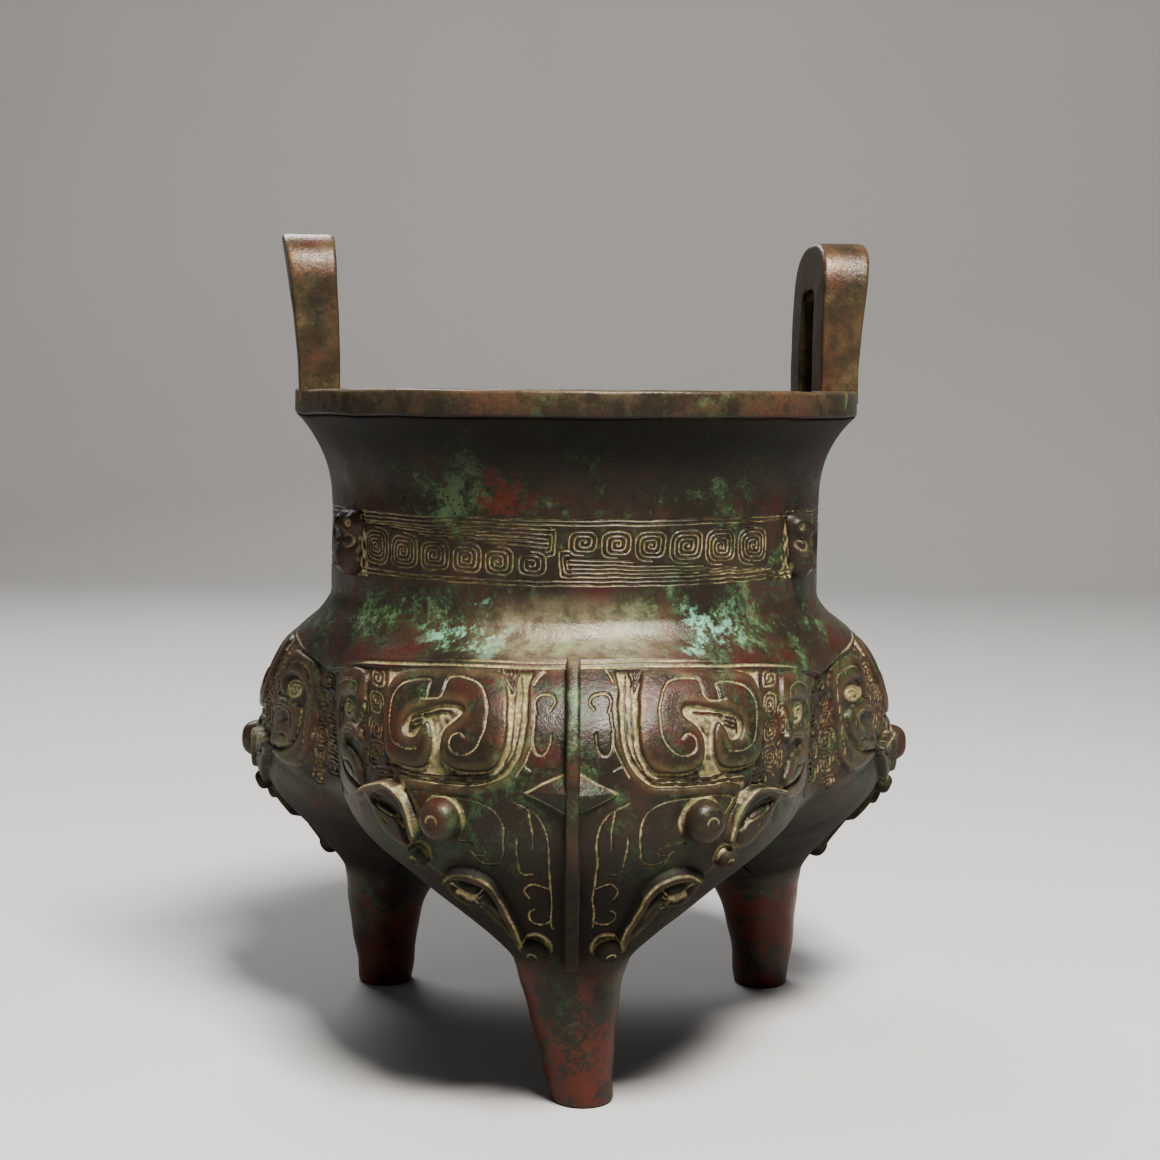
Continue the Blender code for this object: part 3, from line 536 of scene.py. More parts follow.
def carve_mask(across, up, front):
    """The horned mask and its two side dragons on one lobe, as a Carving over its points. The
    drawing is that of one half, read by the distance from the middle line, after both places are
    shifted by smooth noise, so that the two halves differ like handwork."""
    sizes = settings()
    deep = sizes.relief * 1000
    cut = sizes.line_depth * 1000
    thread = sizes.thread_rise * 1000
    flat = np.stack([across, up, np.full_like(across, 7.0 if front else 90.0)], axis=-1)
    x = np.abs(across + 0.22 * wander(flat, 9.0, 3) + 0.12 * wander(flat, 4.0, 5))
    y = up + 0.22 * wander(flat, 9.0, 4) + 0.12 * wander(flat, 4.0, 6)
    fade = np.clip((up - LEG_HEIGHT) / (0.4 * (BELLY_HEIGHT - LEG_HEIGHT)), 0.0, 1.0)
    skin = Carving(x, y, -deep * fade)
    x, y = skin.across, skin.up

    # The sunk ground holds deposit where it was never rubbed: over the belly, between the forms.
    upper = soft_step(y + 0.25 * (x - 50.0) * (x > 50.0), 71.5, 75.0) * (1.0 - soft_step(x, 88.0, 92.0))
    tight = soft_step(x + 5.0 * (y < 79.5), 46.8, 47.6)
    skin.deposit = upper * (0.80 - 0.55 * tight)
    skin.height += 0.45 * tight * upper
    for cx, cy, wide, high, turns, quarter, sense in SPIRALS:
        line = round_spiral(cx, cy, wide, high, turns, 0.5 * math.pi * quarter, sense)
        skin.cut(line, LINE_HALF, 0.45, 0.85)
    # It is rubbed away here and there.
    rubbed = 0.88 + 0.30 * wander(flat, 2.4, 8) + 0.22 * wander(flat, 6.0, 9)
    skin.deposit *= np.clip(rubbed, 0.25, 1.0).ravel()
    for aside in (-0.75, 0.75):
        skin.thread(curve(CHANNEL_THREAD) + np.array([aside, -0.8 * aside]), 0.05, 0.8 * thread)
    for step in (0.0, 1.0, 2.0):
        peak = [(11.9 + step, 101.8), (13.6, 98.0 + 1.3 * step), (15.6 - 0.8 * step, 101.8)]
        skin.thread(np.array(peak), 0.2, thread)
    for step in (0.0, 0.85, 1.7):
        notch = [(36.4 - 0.2 * step, 92.0 - step), (39.0 - 0.3 * step, 91.0 - step)]
        notch.append((39.6 - 0.6 * step, 88.2 + step))
        skin.thread(curve(notch), 0.18, 0.7 * thread)
    skin.thread(curve([(35.6, 92.4), (31.0, 93.2), (27.6, 93.4)]), 0.2, thread)

    # Flat parts.
    low_corner = (-6.0, MASK_FOOT)
    face = np.vstack([[low_corner], curve(FACE_EDGE[::-1]), [(-6.0, 103.4)], [low_corner]])
    skin.plate(face, 0.0, 0.8)
    skin.plate(curve(HORN, closed=True), 0.0, 1.1, crown=0.35, spread=5.0)
    skin.plate(curve(DRAGON, closed=True), 0.1, 1.2)
    skin.plate(curve(CREST, closed=True), 0.3, 1.2, crown=0.3, spread=2.5)

    # Deposit fills the dragon's upper hollow.
    hollow = 1.0 - soft_step(np.hypot((x - 66.6) / 5.0, (y - 89.0) / 2.6), 0.75, 1.05)
    skin.pale(0.8 * hollow * soft_step(-skin.height, 0.3, 0.8))

    # The jaw's everted lip: a plate with a rolled upper edge and a curl at its end.
    skin.plate(curve(LIP_EDGE, closed=True), 0.35, 1.0)
    skin.cut(curve(JAW_HOLLOW), 1.2, 1.1, 0.0)
    roll = curve(JAW_ROLL)
    skin.ridge(roll, np.linspace(1.5, 1.3, len(roll)), 2.1, 0.1)
    # A pale line along the roll's upper side: a painted highlight.
    skin.brush(roll + np.array([-0.5, 0.6]), 0.08, 0.8)
    curl = curve(JAW_CURL)
    skin.ridge(curl, np.linspace(1.2, 0.7, len(curl)), 1.05, 0.2)

    # The ear: a leaf with a rolled upper edge.
    skin.plate(curve(EAR, closed=True), 0.7, 1.0)
    skin.cut(curve(EAR_HOLLOW), 1.3, 1.1, 0.0)
    edge = curve(EAR_ROLL)
    skin.ridge(edge, np.linspace(0.7, 1.3, len(edge)), 2.0, 0.1)
    # A pale line along the ear roll's upper side: a painted highlight.
    skin.brush(edge + np.array([-0.5, 0.3]), 0.08, 0.8)
    skin.brush(curve([(26.2, 52.4), (24.2, 51.4), (22.6, 51.8)]), 0.7, 0.8)

    # Lines: the sets, their half width, depth and how pale they are.
    for lines, half, depth, pale in (
        (HORN_LINES + FACE_LINES + BROW_LINES, LINE_HALF, cut, 0.9),
        (EAR_LINES + JAW_LINES, 0.16, 0.8 * cut, 0.8),
        (DRAGON_LINES, LINE_HALF, 0.8 * cut, 0.8),
    ):
        for line in lines:
            skin.cut(curve(line), half, depth, pale)

    # The lozenge on the brow: four flat slopes up to its tip.
    share = 1.0 - x / 9.9 - np.abs(y - 77.3) / 5.0
    slope = np.clip(share, 0.0, 1.0)
    skin.height = np.where(share > 0, np.maximum(skin.height, 0.5 + 3.0 * slope), skin.height)
    skin.deposit *= 1.0 - soft_step(share, 0.0, 0.12)
    skin.pale(0.8 * soft_step(share, -0.10, 0.0) * (1.0 - soft_step(share, 0.02, 0.12)))

    # Pale deposit round the bosses, kept to their upper side, where it is also a painted highlight: their
    # places, radii and how much there is.
    halos = (29.4, 70.1, 4.9, 0.75), (8.0, 39.4, 3.1, 0.8), (36.5, 60.6, 2.8, 0.6)
    for cx, cy, radius, strength in halos:
        ring = np.hypot(x - cx, y - cy) - radius
        halo = soft_step(ring, -0.6, 0.1) * (1.0 - soft_step(ring, 0.3, 1.3))
        skin.pale(strength * halo * soft_step(y - cy + 0.4 * (cx - x), -3.0, 2.0))

    # A rim along the masks' top edge, with a double line in it.
    below = (mask_top(across / HALF_ACROSS * SECTOR) - up).ravel()
    rim = 1.0 - soft_step(below, 1.9, 2.5)
    skin.height = skin.height * (1.0 - rim)
    skin.deposit = skin.deposit * (1.0 - rim)
    for place in (0.45, 1.45):
        line = 1.0 - soft_step(np.abs(below - place), 0.08, 0.42)
        skin.height -= cut * line
        skin.pale(0.95 * line)
    return skin


def carve_band(across, up):
    """One third of the neck's band, from its middle: nested hairpins closed at the middle over a row
    of squared spirals that grow outwards. The other half is the same, turned half round."""
    flat = np.stack([across, up, 0.0 * across], axis=-1)
    x = across + 0.12 * wander(flat, 6.0, 12)
    y = up + 0.10 * wander(flat, 7.0, 13)
    low, high = BAND_LOW, BAND_HIGH
    mid = 0.5 * (low + high)
    meeting = -3.8
    right = x > meeting
    x = np.where(right, x - meeting, meeting - x)
    y = np.where(right, 2.0 * mid - y, y)
    skin = Carving(x, y, 0.0 * x)
    half, deep = BAND_LINE_HALF, BAND_LINE_DEPTH
    for place in (low + 0.2, low + 1.15, high - 1.15, high - 0.2):
        skin.cut(np.array([(-1.0, place), (70.0, place)]), half, deep)
    floor, ceiling = low + 2.1, high - 2.1
    edges = [2.2, 9.6, 17.4, 25.8, 34.9, 44.4, 54.6]
    middles = [0.5 * (start + end) for start, end in zip(edges[:-1], edges[1:])]
    for i, at in enumerate(middles):
        wide = 0.5 * (edges[i + 1] - edges[i]) - 0.02
        tall = 2.8 + 0.34 * i
        spiral = round_spiral(at, floor + tall, wide, tall, tall / 0.92, 0.5 * math.pi, 1.0)
        skin.cut(spiral, 0.14, deep)
    # The long lines spread out from the outer end, and stop where they meet a spiral.
    count, begin, finish, gap, far_gap = 7, 2.0, 56.0, 0.98, 0.50
    for i in range(count):
        near, far = ceiling - gap * i, ceiling - far_gap * i
        crossing = finish
        for j in reversed(range(len(middles))):
            top = floor + 2 * (2.7 + 0.34 * j) + 0.75
            if near + (far - near) * (middles[j] - begin) / (finish - begin) < top:
                crossing = edges[j] - 0.4
        if crossing > 3.0:
            end = near + (far - near) * (crossing - begin) / (finish - begin)
            skin.cut(np.array([(begin, near), (crossing, end)]), half, deep)
    for i in range(count // 2):
        upper, lower = ceiling - gap * i, ceiling - gap * (count - 1 - i)
        bend = [(2.6, upper), (1.2 + 0.55 * i, upper - 0.05), (0.5 + 0.75 * i, upper - 0.7)]
        bend += [(0.5 + 0.75 * i, lower + 0.7), (1.2 + 0.55 * i, lower + 0.05), (2.6, lower)]
        skin.cut(curve(bend), half, deep)
    # Deposit lies in a ragged strip beside the heads.
    beside = np.abs(across) + 1.1 * wander(flat, 2.6, 14)
    strip = soft_step(beside, 56.0, 57.8) * (0.62 + 0.55 * wander(flat, 1.6, 15))
    skin.pale(np.clip(strip, 0.0, 0.95).ravel())
    return skin


def surface(points, faces, **values):
    """A bit of skin: points in millimetres, faces by index, and values for each point."""
    flat = points.reshape(-1, 3)
    filled = {"deposit": 0.0, "worn": 0.0}
    filled.update(values)
    kept = {key: np.broadcast_to(value, points.shape[:-1]).reshape(-1) for key, value in filled.items()}
    return flat, faces, kept


def grid_faces(rows, columns, wrap=False, flip=False):
    """Four-sided faces of a grid whose columns run anticlockwise round and whose rows run up."""
    r = np.arange(rows - 1)[:, None]
    c = np.arange(columns if wrap else columns - 1)[None, :]
    after = (c + 1) % columns
    quads = np.stack(
        [r * columns + c, r * columns + after, (r + 1) * columns + after, (r + 1) * columns + c], axis=-1
    ).reshape(-1, 4)
    return quads[:, ::-1] if flip else quads


def zip_rows(lower, upper, lower_at, upper_at, flip=False):
    """A strip of triangles between two open rows of different counts: each row's edges are taken in
    the order of their middles, and joined to the point that the other row has reached."""
    lower_mid = 0.5 * (lower_at[1:] + lower_at[:-1])
    upper_mid = 0.5 * (upper_at[1:] + upper_at[:-1])
    reached = np.searchsorted(upper_mid, lower_mid, side="left")
    passed = np.searchsorted(lower_mid, upper_mid, side="right")
    count = len(lower)
    low, up = np.arange(len(lower) - 1), np.arange(len(upper) - 1)
    first = np.stack([low, low + 1, count + reached], axis=-1)
    second = np.stack([passed, count + up + 1, count + up], axis=-1)
    faces = np.vstack([first, second])
    return np.vstack([lower, upper]), faces[:, ::-1] if flip else faces


def disc(ring, centre, flip=False):
    """A fan of triangles from a closed ring to its middle point."""
    count = len(ring)
    at = np.arange(count)
    faces = np.stack([at, (at + 1) % count, np.full(count, count)], axis=-1)
    return np.vstack([ring, [centre]]), faces[:, ::-1] if flip else faces


def whole(faces):
    """Which faces have no corner twice in a row."""
    return np.all(faces != np.roll(faces, -1, axis=1), axis=1)


def without_doubles(faces):
    """Faces whose doubled corners are taken out: what is left of a four-sided one is a triangle."""
    kept = whole(faces)
    parts = []
    if faces.shape[1] == 4:
        for i in range(4):
            lost = faces[~kept & (faces[:, i] == faces[:, (i + 1) % 4])]
            triangles = np.delete(lost, i, axis=1)
            parts.append(triangles[whole(triangles)])
    return [*parts, faces[kept]]


def make_piece(name, surfaces, waviness=True):
    """One finished object from its surfaces: their doubles are welded, the points wander a little
    by a noise for each direction, and the mesh is written in metres with its values as attributes."""
    points = np.vstack([s[0] for s in surfaces])
    _, first, index = np.unique(np.round(points, 3), axis=0, return_index=True, return_inverse=True)
    index = index.reshape(-1)
    points = points[first]
    start, parts = 0, []
    for flat, faces, _ in surfaces:
        parts += without_doubles(index[faces + start])
        start += len(flat)
    corners = np.concatenate([part.ravel() for part in parts])
    sizes = np.concatenate([np.full(len(part), part.shape[1]) for part in parts])
    if waviness:
        drift = 1000 * settings().waviness
        shift = [wander(points, 26.0, 31 + i) + 0.5 * wander(points, 11.0, 41 + i) for i in range(3)]
        points = points + drift * np.stack(shift, axis=-1) * soft_step(points[:, 2:], 1.0, 8.0)
    placed = points * 0.001 + np.array([0.0, AXIS_Y, 0.0])
    mesh = bpy.data.meshes.new(name)
    mesh.vertices.add(len(points))
    mesh.loops.add(len(corners))
    mesh.polygons.add(len(sizes))
    mesh.vertices.foreach_set("co", placed.astype(np.float32).ravel())
    mesh.loops.foreach_set("vertex_index", corners.astype(np.int32))
    starts = np.concatenate([[0], np.cumsum(sizes)[:-1]])
    mesh.polygons.foreach_set("loop_start", starts.astype(np.int32))
    mesh.update(calc_edges=True)
    mesh.polygons.foreach_set("use_smooth", np.ones(len(sizes), bool))
    for key in ("deposit", "worn"):
        held = np.concatenate([s[2][key] for s in surfaces])[first]
        mesh.attributes.new(key, "FLOAT", "POINT").data.foreach_set("value", held.astype(np.float32))
    if mesh.validate():
        raise RuntimeError(name + " had faces that Blender took out")
    piece = bpy.data.objects.new(name, mesh)
    bpy.context.scene.collection.objects.link(piece)
    mesh.materials.append(patinated_bronze())
    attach(piece, "root")
    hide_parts("incense_burner")
    return piece


class NodeMaker:
    """Adds shader nodes and links to one material."""

    def __init__(self, material):
        material.use_nodes = True
        self.tree = material.node_tree
        self.shader = self.tree.nodes["Principled BSDF"]
        self.place = self.tree.nodes.new("ShaderNodeTexCoord").outputs["Object"]

    def link(self, source, target):
        self.tree.links.new(source, target)

    def noise(self, scale, detail, roughness=0.55, distortion=0.0, shift=(0.0, 0.0, 0.0)):
        """Noise on the piece's own coordinates, shifted so that no two patterns coincide."""
        mapping = self.tree.nodes.new("ShaderNodeMapping")
        mapping.inputs["Location"].default_value = shift
        self.link(self.place, mapping.inputs["Vector"])
        node = self.tree.nodes.new("ShaderNodeTexNoise")
        node.inputs["Scale"].default_value = scale
        node.inputs["Detail"].default_value = detail
        node.inputs["Roughness"].default_value = roughness
        node.inputs["Distortion"].default_value = distortion
        self.link(mapping.outputs["Vector"], node.inputs["Vector"])
        return node.outputs["Fac"]

    def ramp(self, source, low, high, start=0.0, end=1.0):
        """A smooth change from one value to another between two levels of a source."""
        node = self.tree.nodes.new("ShaderNodeMapRange")
        node.interpolation_type = "SMOOTHSTEP"
        for key, value in (("From Min", low), ("From Max", high), ("To Min", start), ("To Max", end)):
            node.inputs[key].default_value = value
        self.link(source, node.inputs["Value"])
        return node.outputs["Result"]

    def math(self, operation, first, second):
        """Two values put together."""
        node = self.tree.nodes.new("ShaderNodeMath")
        node.operation = operation
        for socket, value in zip(node.inputs, (first, second)):
            if isinstance(value, (int, float)):
                socket.default_value = value
            else:
                self.link(value, socket)
        return node.outputs["Value"]

    def add(self, first, second):
        """Their sum."""
        return self.math("ADD", first, second)

    def times(self, first, second):
        """Their product."""
        return self.math("MULTIPLY", first, second)

    def between(self, source, low, full, fading, high, most=1.0):
        """From 0 at the low level to the most at the full one, and from the fading one back to 0."""
        rising = self.ramp(source, low, full, 0.0, most)
        return self.times(rising, self.ramp(source, fading, high, 1.0, 0.0))

    def blend(self, share, first, second, kind="RGBA"):
        """One colour or value over another by a share."""
        node = self.tree.nodes.new("ShaderNodeMix")
        node.data_type = kind
        sockets = [s for s in node.inputs if s.enabled]
        self.link(share, sockets[0])
        for socket, value in zip(sockets[1:], (first, second)):
            if isinstance(value, (int, float)):
                socket.default_value = value
            elif isinstance(value, bpy.types.NodeSocket):
                self.link(value, socket)
            else:
                socket.default_value = (*value, 1.0)
        return next(s for s in node.outputs if s.enabled)

    def attribute(self, name):
        """A value that the mesh holds at each point."""
        node = self.tree.nodes.new("ShaderNodeAttribute")
        node.attribute_name = name
        return node.outputs["Fac"]

    def spot(self, centre, radius):
        """1 near a place in metres, falling to 0 at a radius from it."""
        node = self.tree.nodes.new("ShaderNodeVectorMath")
        node.operation = "DISTANCE"
        node.inputs[1].default_value = centre
        self.link(self.place, node.inputs[0])
        return self.ramp(node.outputs["Value"], 0.35 * radius, radius, 1.0, 0.0)


def patinated_bronze():
    """Waxed old bronze: near-black brown with red-brown and dark green patches that break up into
    speckle, verdigris and a pale bloom on the shoulder, which at its front is also a painted highlight,
    worn metal on edges, and pale matt deposit in the recesses, which along some upper edges is a
    painted highlight. Painted shade darkens the lobes' undersides, and a painted shadow of the lip
    darkens the neck. Heights and places are in metres."""
    found = bpy.data.materials.get("patinated_bronze")
    if found:
        return found
    colours = settings()
    material = bpy.data.materials.new("patinated_bronze")
    make = NodeMaker(material)
    split = make.tree.nodes.new("ShaderNodeSeparateXYZ")
    make.link(make.place, split.inputs[0])
    height = split.outputs["Z"]

    broad = make.noise(58.0, 9.0, 0.70, 0.3, (0.31, 0.12, 0.5))
    second = make.noise(82.0, 10.0, 0.72, 0.35, (0.9, 0.4, 0.2))
    fine = make.noise(230.0, 8.0, 0.72, 0.2, (0.7, 0.2, 0.1))
    grain = make.noise(1100.0, 3.0, 0.6)

    speckle = make.add(make.times(fine, 0.70), make.times(grain, 0.35))

    # Dark green with paler specks in it: less on the band and the neck over it, more on the shoulder
    # and at one place on the neck.
    band = make.times(make.between(height, 0.118, 0.121, 0.133, 0.136), 0.06)
    neck = make.ramp(height, 0.138, 0.152, 0.0, 0.07)
    shoulder = make.between(height, 0.101, 0.106, 0.112, 0.122)
    green = make.math("SUBTRACT", make.add(second, speckle), make.add(band, neck))
    green = make.add(green, make.times(make.spot((-0.0245, -0.047, 0.138), 0.013), 0.11))
    green = make.add(green, make.times(shoulder, 0.045))
    green_share = make.ramp(green, 1.02, 1.12, 0.0, 0.88)
    brown = make.blend(make.ramp(broad, 0.42, 0.60, 0.0, 0.8), colours.bronze, colours.brown)
    colour = make.blend(green_share, brown, colours.green)
    specks = make.ramp(green, 1.11, 1.21, 0.0, 0.65)
    specks = make.times(specks, make.ramp(height, 0.060, 0.105, 0.25, 1.0))
    colour = make.blend(specks, colour, MALACHITE)

    # Red-brown patches: more on the legs, the horns, the handles and one place on the neck, less on
    # the band and the shoulder. They are brighter on the feet and at that one place.
    leg = make.ramp(height, 0.012, 0.046, 0.15, 0.0)
    horn = make.between(height, 0.070, 0.085, 0.104, 0.122, 0.035)
    red = make.add(make.add(broad, leg), make.add(speckle, horn))
    red = make.math("SUBTRACT", red, band)
    red = make.math("SUBTRACT", red, make.times(shoulder, 0.06))
    red = make.add(red, make.ramp(height, 0.1635, 0.166, 0.0, 0.05))
    place = make.times(make.spot((-0.017, -0.050, 0.141), 0.010), 0.16)
    red = make.add(red, place)
    red_share = make.ramp(red, 1.08, 1.165, 0.0, 0.9)
    bright = make.add(make.ramp(height, 0.024, 0.038, 0.55, 0.0), make.times(place, 4.0))
    colour = make.blend(red_share, colour, make.blend(bright, colours.red_brown, RUST))

    # Painted shade on the undersides of the lobes, and a painted shadow of the lip on the neck, fading down
    # it.
    underside_shade = make.between(height, 0.030, 0.037, 0.050, 0.074)
    colour = make.blend(make.times(underside_shade, 0.7), colour, PAINTED_UNDERSIDE_SHADE)
    # The lip's painted shadow, darkest on the upper neck.
    lip_shadow = make.between(height, 0.137, 0.153, 0.1562, 0.1578)
    colour = make.blend(make.times(lip_shadow, 0.85), colour, PAINTED_LIP_SHADOW)

    # Bloom on the shoulder, which at its front is also a painted highlight, with two places of verdigris.
    level = make.between(height, 0.101, 0.106, 0.112, 0.119)
    patch = make.add(make.spot((-0.023, -0.049, 0.108), 0.016), make.spot((0.028, -0.049, 0.110), 0.018))
    ragged = make.noise(120.0, 9.0, 0.7, 0.4, (0.2, 0.6, 0.3))
    ragged = make.ramp(make.add(ragged, make.times(speckle, 0.6)), 0.84, 0.96)
    patch = make.times(make.times(make.times(patch, level), ragged), 0.8)
    colour = make.blend(patch, colour, colours.verdigris)
    # A pale patch at the front of the shoulder: bloom and a painted highlight.
    bloom_and_highlight = make.times(make.spot((0.0, -0.056, 0.106), 0.030), level)
    bloom_and_highlight = make.times(bloom_and_highlight, make.ramp(fine, 0.35, 0.62, 0.25, 0.6))
    colour = make.blend(bloom_and_highlight, colour, BLOOM_AND_HIGHLIGHT)

    # Rubbed metal and the deposit, which in places is a painted highlight, both broken up by the noise.
    worn = make.times(make.attribute("worn"), make.ramp(fine, 0.34, 0.66, 0.25, 1.0))
    colour = make.blend(make.times(worn, 0.62), colour, colours.gold)
    broken = make.add(make.times(broad, 0.5), make.times(fine, 0.6))
    broken = make.ramp(broken, 0.42, 0.64, 0.48, 1.2)
    deposit_share = make.ramp(make.times(make.attribute("deposit"), broken), 0.15, 0.95, 0.0, 0.92)
    tint = make.blend(make.ramp(green, 0.94, 1.12), colours.deposit, GREEN_DEPOSIT)
    tint = make.blend(make.ramp(fine, 0.44, 0.60, 0.0, 0.65), tint, OCHRE_DEPOSIT)
    tint = make.blend(make.ramp(grain, 0.35, 0.65, 0.0, 0.6), tint, BROWN_DEPOSIT)
    colour = make.blend(deposit_share, colour, tint)
    make.link(colour, make.shader.inputs["Base Color"])

    # The wax shines. Deposit and the places of painted shade are matt, and deposit hides the metal.
    wax = make.ramp(fine, 0.3, 0.7, 0.28, 0.46)
    rough = make.blend(green_share, wax, 0.46, "FLOAT")
    rough = make.blend(deposit_share, rough, 0.74, "FLOAT")
    # Matt where the lobes' undersides are painted in shade.
    rough = make.blend(underside_shade, rough, 0.85, "FLOAT")
    # Matt where the lip's shadow is painted.
    rough = make.blend(lip_shadow, rough, 0.7, "FLOAT")
    make.link(rough, make.shader.inputs["Roughness"])
    metal = make.add(make.times(worn, 0.45), 0.10)
    metal = make.times(metal, make.ramp(deposit_share, 0.0, 0.6, 1.0, 0.0))
    make.link(metal, make.shader.inputs["Metallic"])
    make.shader.inputs["Specular IOR Level"].default_value = 0.32

    pits = make.add(make.times(fine, 0.6), make.times(grain, 0.4))
    bump = make.tree.nodes.new("ShaderNodeBump")
    bump.inputs["Strength"].default_value = 0.5
    bump.inputs["Distance"].default_value = 0.0006
    make.link(pits, bump.inputs["Height"])
    make.link(bump.outputs["Normal"], make.shader.inputs["Normal"])
    return material


def pale_floor():
    """Matt off-white with a faint unevenness."""
    material = bpy.data.materials.new("pale_floor")
    make = NodeMaker(material)
    colour = make.blend(make.noise(3.0, 3.0), (0.46, 0.455, 0.447), (0.50, 0.495, 0.487))
    make.link(colour, make.shader.inputs["Base Color"])
    make.shader.inputs["Roughness"].default_value = 0.75
    return material


def mask_patch(turns, front):
    """A lobe's skin over its closing height: the plain skin moved along its normal by the carving."""
    closed = closing_height(lobe_section)
    rows = FRONT_MASK_ROWS if front else REAR_MASK_ROWS
    turn, share = np.meshgrid(turns, np.linspace(0.0, 1.0, rows))
    z = closed + share * (mask_top(turn) - closed)

    def point(angle, level):
        return skin_point(angle, level, closed)

    plain, normal = point(turn, z), normal_of(point, turn, z)
    middle, radius = lobe_section(z)
    across = np.arctan2(plain[..., 0], -plain[..., 1] - middle) * radius
    skin = carve_mask(across, z, front)
    height = skin.height.reshape(z.shape)
    # The last rows rise to the plain skin of the shoulder.
    level = soft_step(mask_top(turn) - z, 0.0, 0.5)
    points = plain + normal * (height * level)[..., None]
    return points, skin.deposit.reshape(z.shape) * level, skin.worn.reshape(z.shape)


def under_patch(turns, front):
    """A lobe's skin from the leg's top to the closing height, by the angle round its own middle."""
    closed = closing_height(lobe_section)
    rows = FRONT_UNDER_ROWS if front else REAR_UNDER_ROWS
    turn, z = np.meshgrid(2.0 * turns, np.linspace(LEG_HEIGHT, closed, rows))
    across = turn * lobe_section(z)[1]
    skin = carve_mask(across, z, front)
    rise = skin.height.reshape(z.shape)[..., None]
    points = lobe_point(turn, z) + normal_of(lobe_point, turn, z) * rise
    return points, skin.deposit.reshape(z.shape), skin.worn.reshape(z.shape)


def make_lobe(name, lobe, turns):
    """One lobe, or half of one, with its mask."""
    front = lobe == 0
    surfaces = []
    for patch in (mask_patch, under_patch):
        points, deposit, worn = patch(turns, front)
        rows = points.shape[0]
        points = turned(points, 2 * SECTOR * lobe)
        surfaces.append(surface(points, grid_faces(rows, len(turns)), deposit=deposit, worn=worn))
    return make_piece(name, surfaces)


def lobe_turns(columns):
    """Evenly spaced angles over one lobe."""
    return np.linspace(-SECTOR, SECTOR, columns + 1)


def ring_turns():
    """The columns all the way round, as (angle round the axis, angle from the nearest lobe's middle)."""
    turns = [lobe_turns(FRONT_COLUMNS)[:-1], lobe_turns(REAR_COLUMNS)[:-1], lobe_turns(REAR_COLUMNS)[:-1]]
    angles = np.concatenate([turn + 2 * SECTOR * i for i, turn in enumerate(turns)])
    return angles, np.concatenate(turns)


def shoulder_surface():
    """From the masks' top edge to the band: the plain skin."""
    closed = closing_height(lobe_section)
    angles, turns = ring_turns()
    turn, share = np.meshgrid(turns, np.linspace(0.0, 1.0, SHOULDER_ROWS))
    z = mask_top(turn) * (1 - share) + (BAND_LOW - 0.6) * share
    points = around(angles, body_radius(turn, z, lobe_section, NECK_RADIUS, closed), z)
    return surface(points, grid_faces(SHOULDER_ROWS, len(angles), wrap=True))


def band_surface():
    """The neck's carved band: a cylinder moved outwards by the carving, the same in each third."""
    angles, turns = ring_turns()
    turn, z = np.meshgrid(turns, np.linspace(BAND_LOW - 0.6, BAND_HIGH + 0.6, BAND_ROWS))
    skin = carve_band(turn * NECK_RADIUS, z)
    points = around(angles, NECK_RADIUS + skin.height.reshape(z.shape), z)
    faces = grid_faces(BAND_ROWS, len(angles), wrap=True)
    return surface(points, faces, deposit=skin.deposit.reshape(z.shape))


def rounded_corner(centre, radius, start, end, steps):
    """Points of an arc in the (radius, height) plane."""
    angle = np.linspace(start, end, steps)
    return np.stack([centre[0] + radius * np.cos(angle), centre[1] + radius * np.sin(angle)], axis=-1)


def mouth_profile():
    """Neck, flare and lip as (radius, height): a quarter round outwards, a flat lip with rounded
    corners, and a slope in to the bore."""
    foot = LIP_HEIGHT - LIP_THICKNESS
    steep = math.asin((foot - FLARE_START) / FLARE_RADIUS)
    flare_centre = (NECK_RADIUS + FLARE_RADIUS, FLARE_START)
    flare = rounded_corner(flare_centre, FLARE_RADIUS, math.pi, math.pi - steep, 22)
    inside, bore = LIP_RADIUS - LIP_WIDTH, NECK_RADIUS - WALL
    under, over = LIP_UNDER_ROUNDING, LIP_ROUNDING
    lower = rounded_corner((LIP_RADIUS - under, foot + under), under, -0.5 * math.pi, 0.0, 5)
    upper = rounded_corner((LIP_RADIUS - over, LIP_HEIGHT - over), over, 0.0, 0.5 * math.pi, 6)
    inner = rounded_corner((inside + over, LIP_HEIGHT - over), over, 0.5 * math.pi, math.pi, 6)
    top = [(inside + 0.3 * LIP_WIDTH, LIP_HEIGHT - 0.05)]
    slope = [(bore + 0.55 * (inside - bore), foot), (bore, FLARE_START + 0.3 * (foot - FLARE_START))]
    return np.vstack([[(NECK_RADIUS, BAND_HIGH + 0.6)], flare, lower, upper, top, inner, slope])


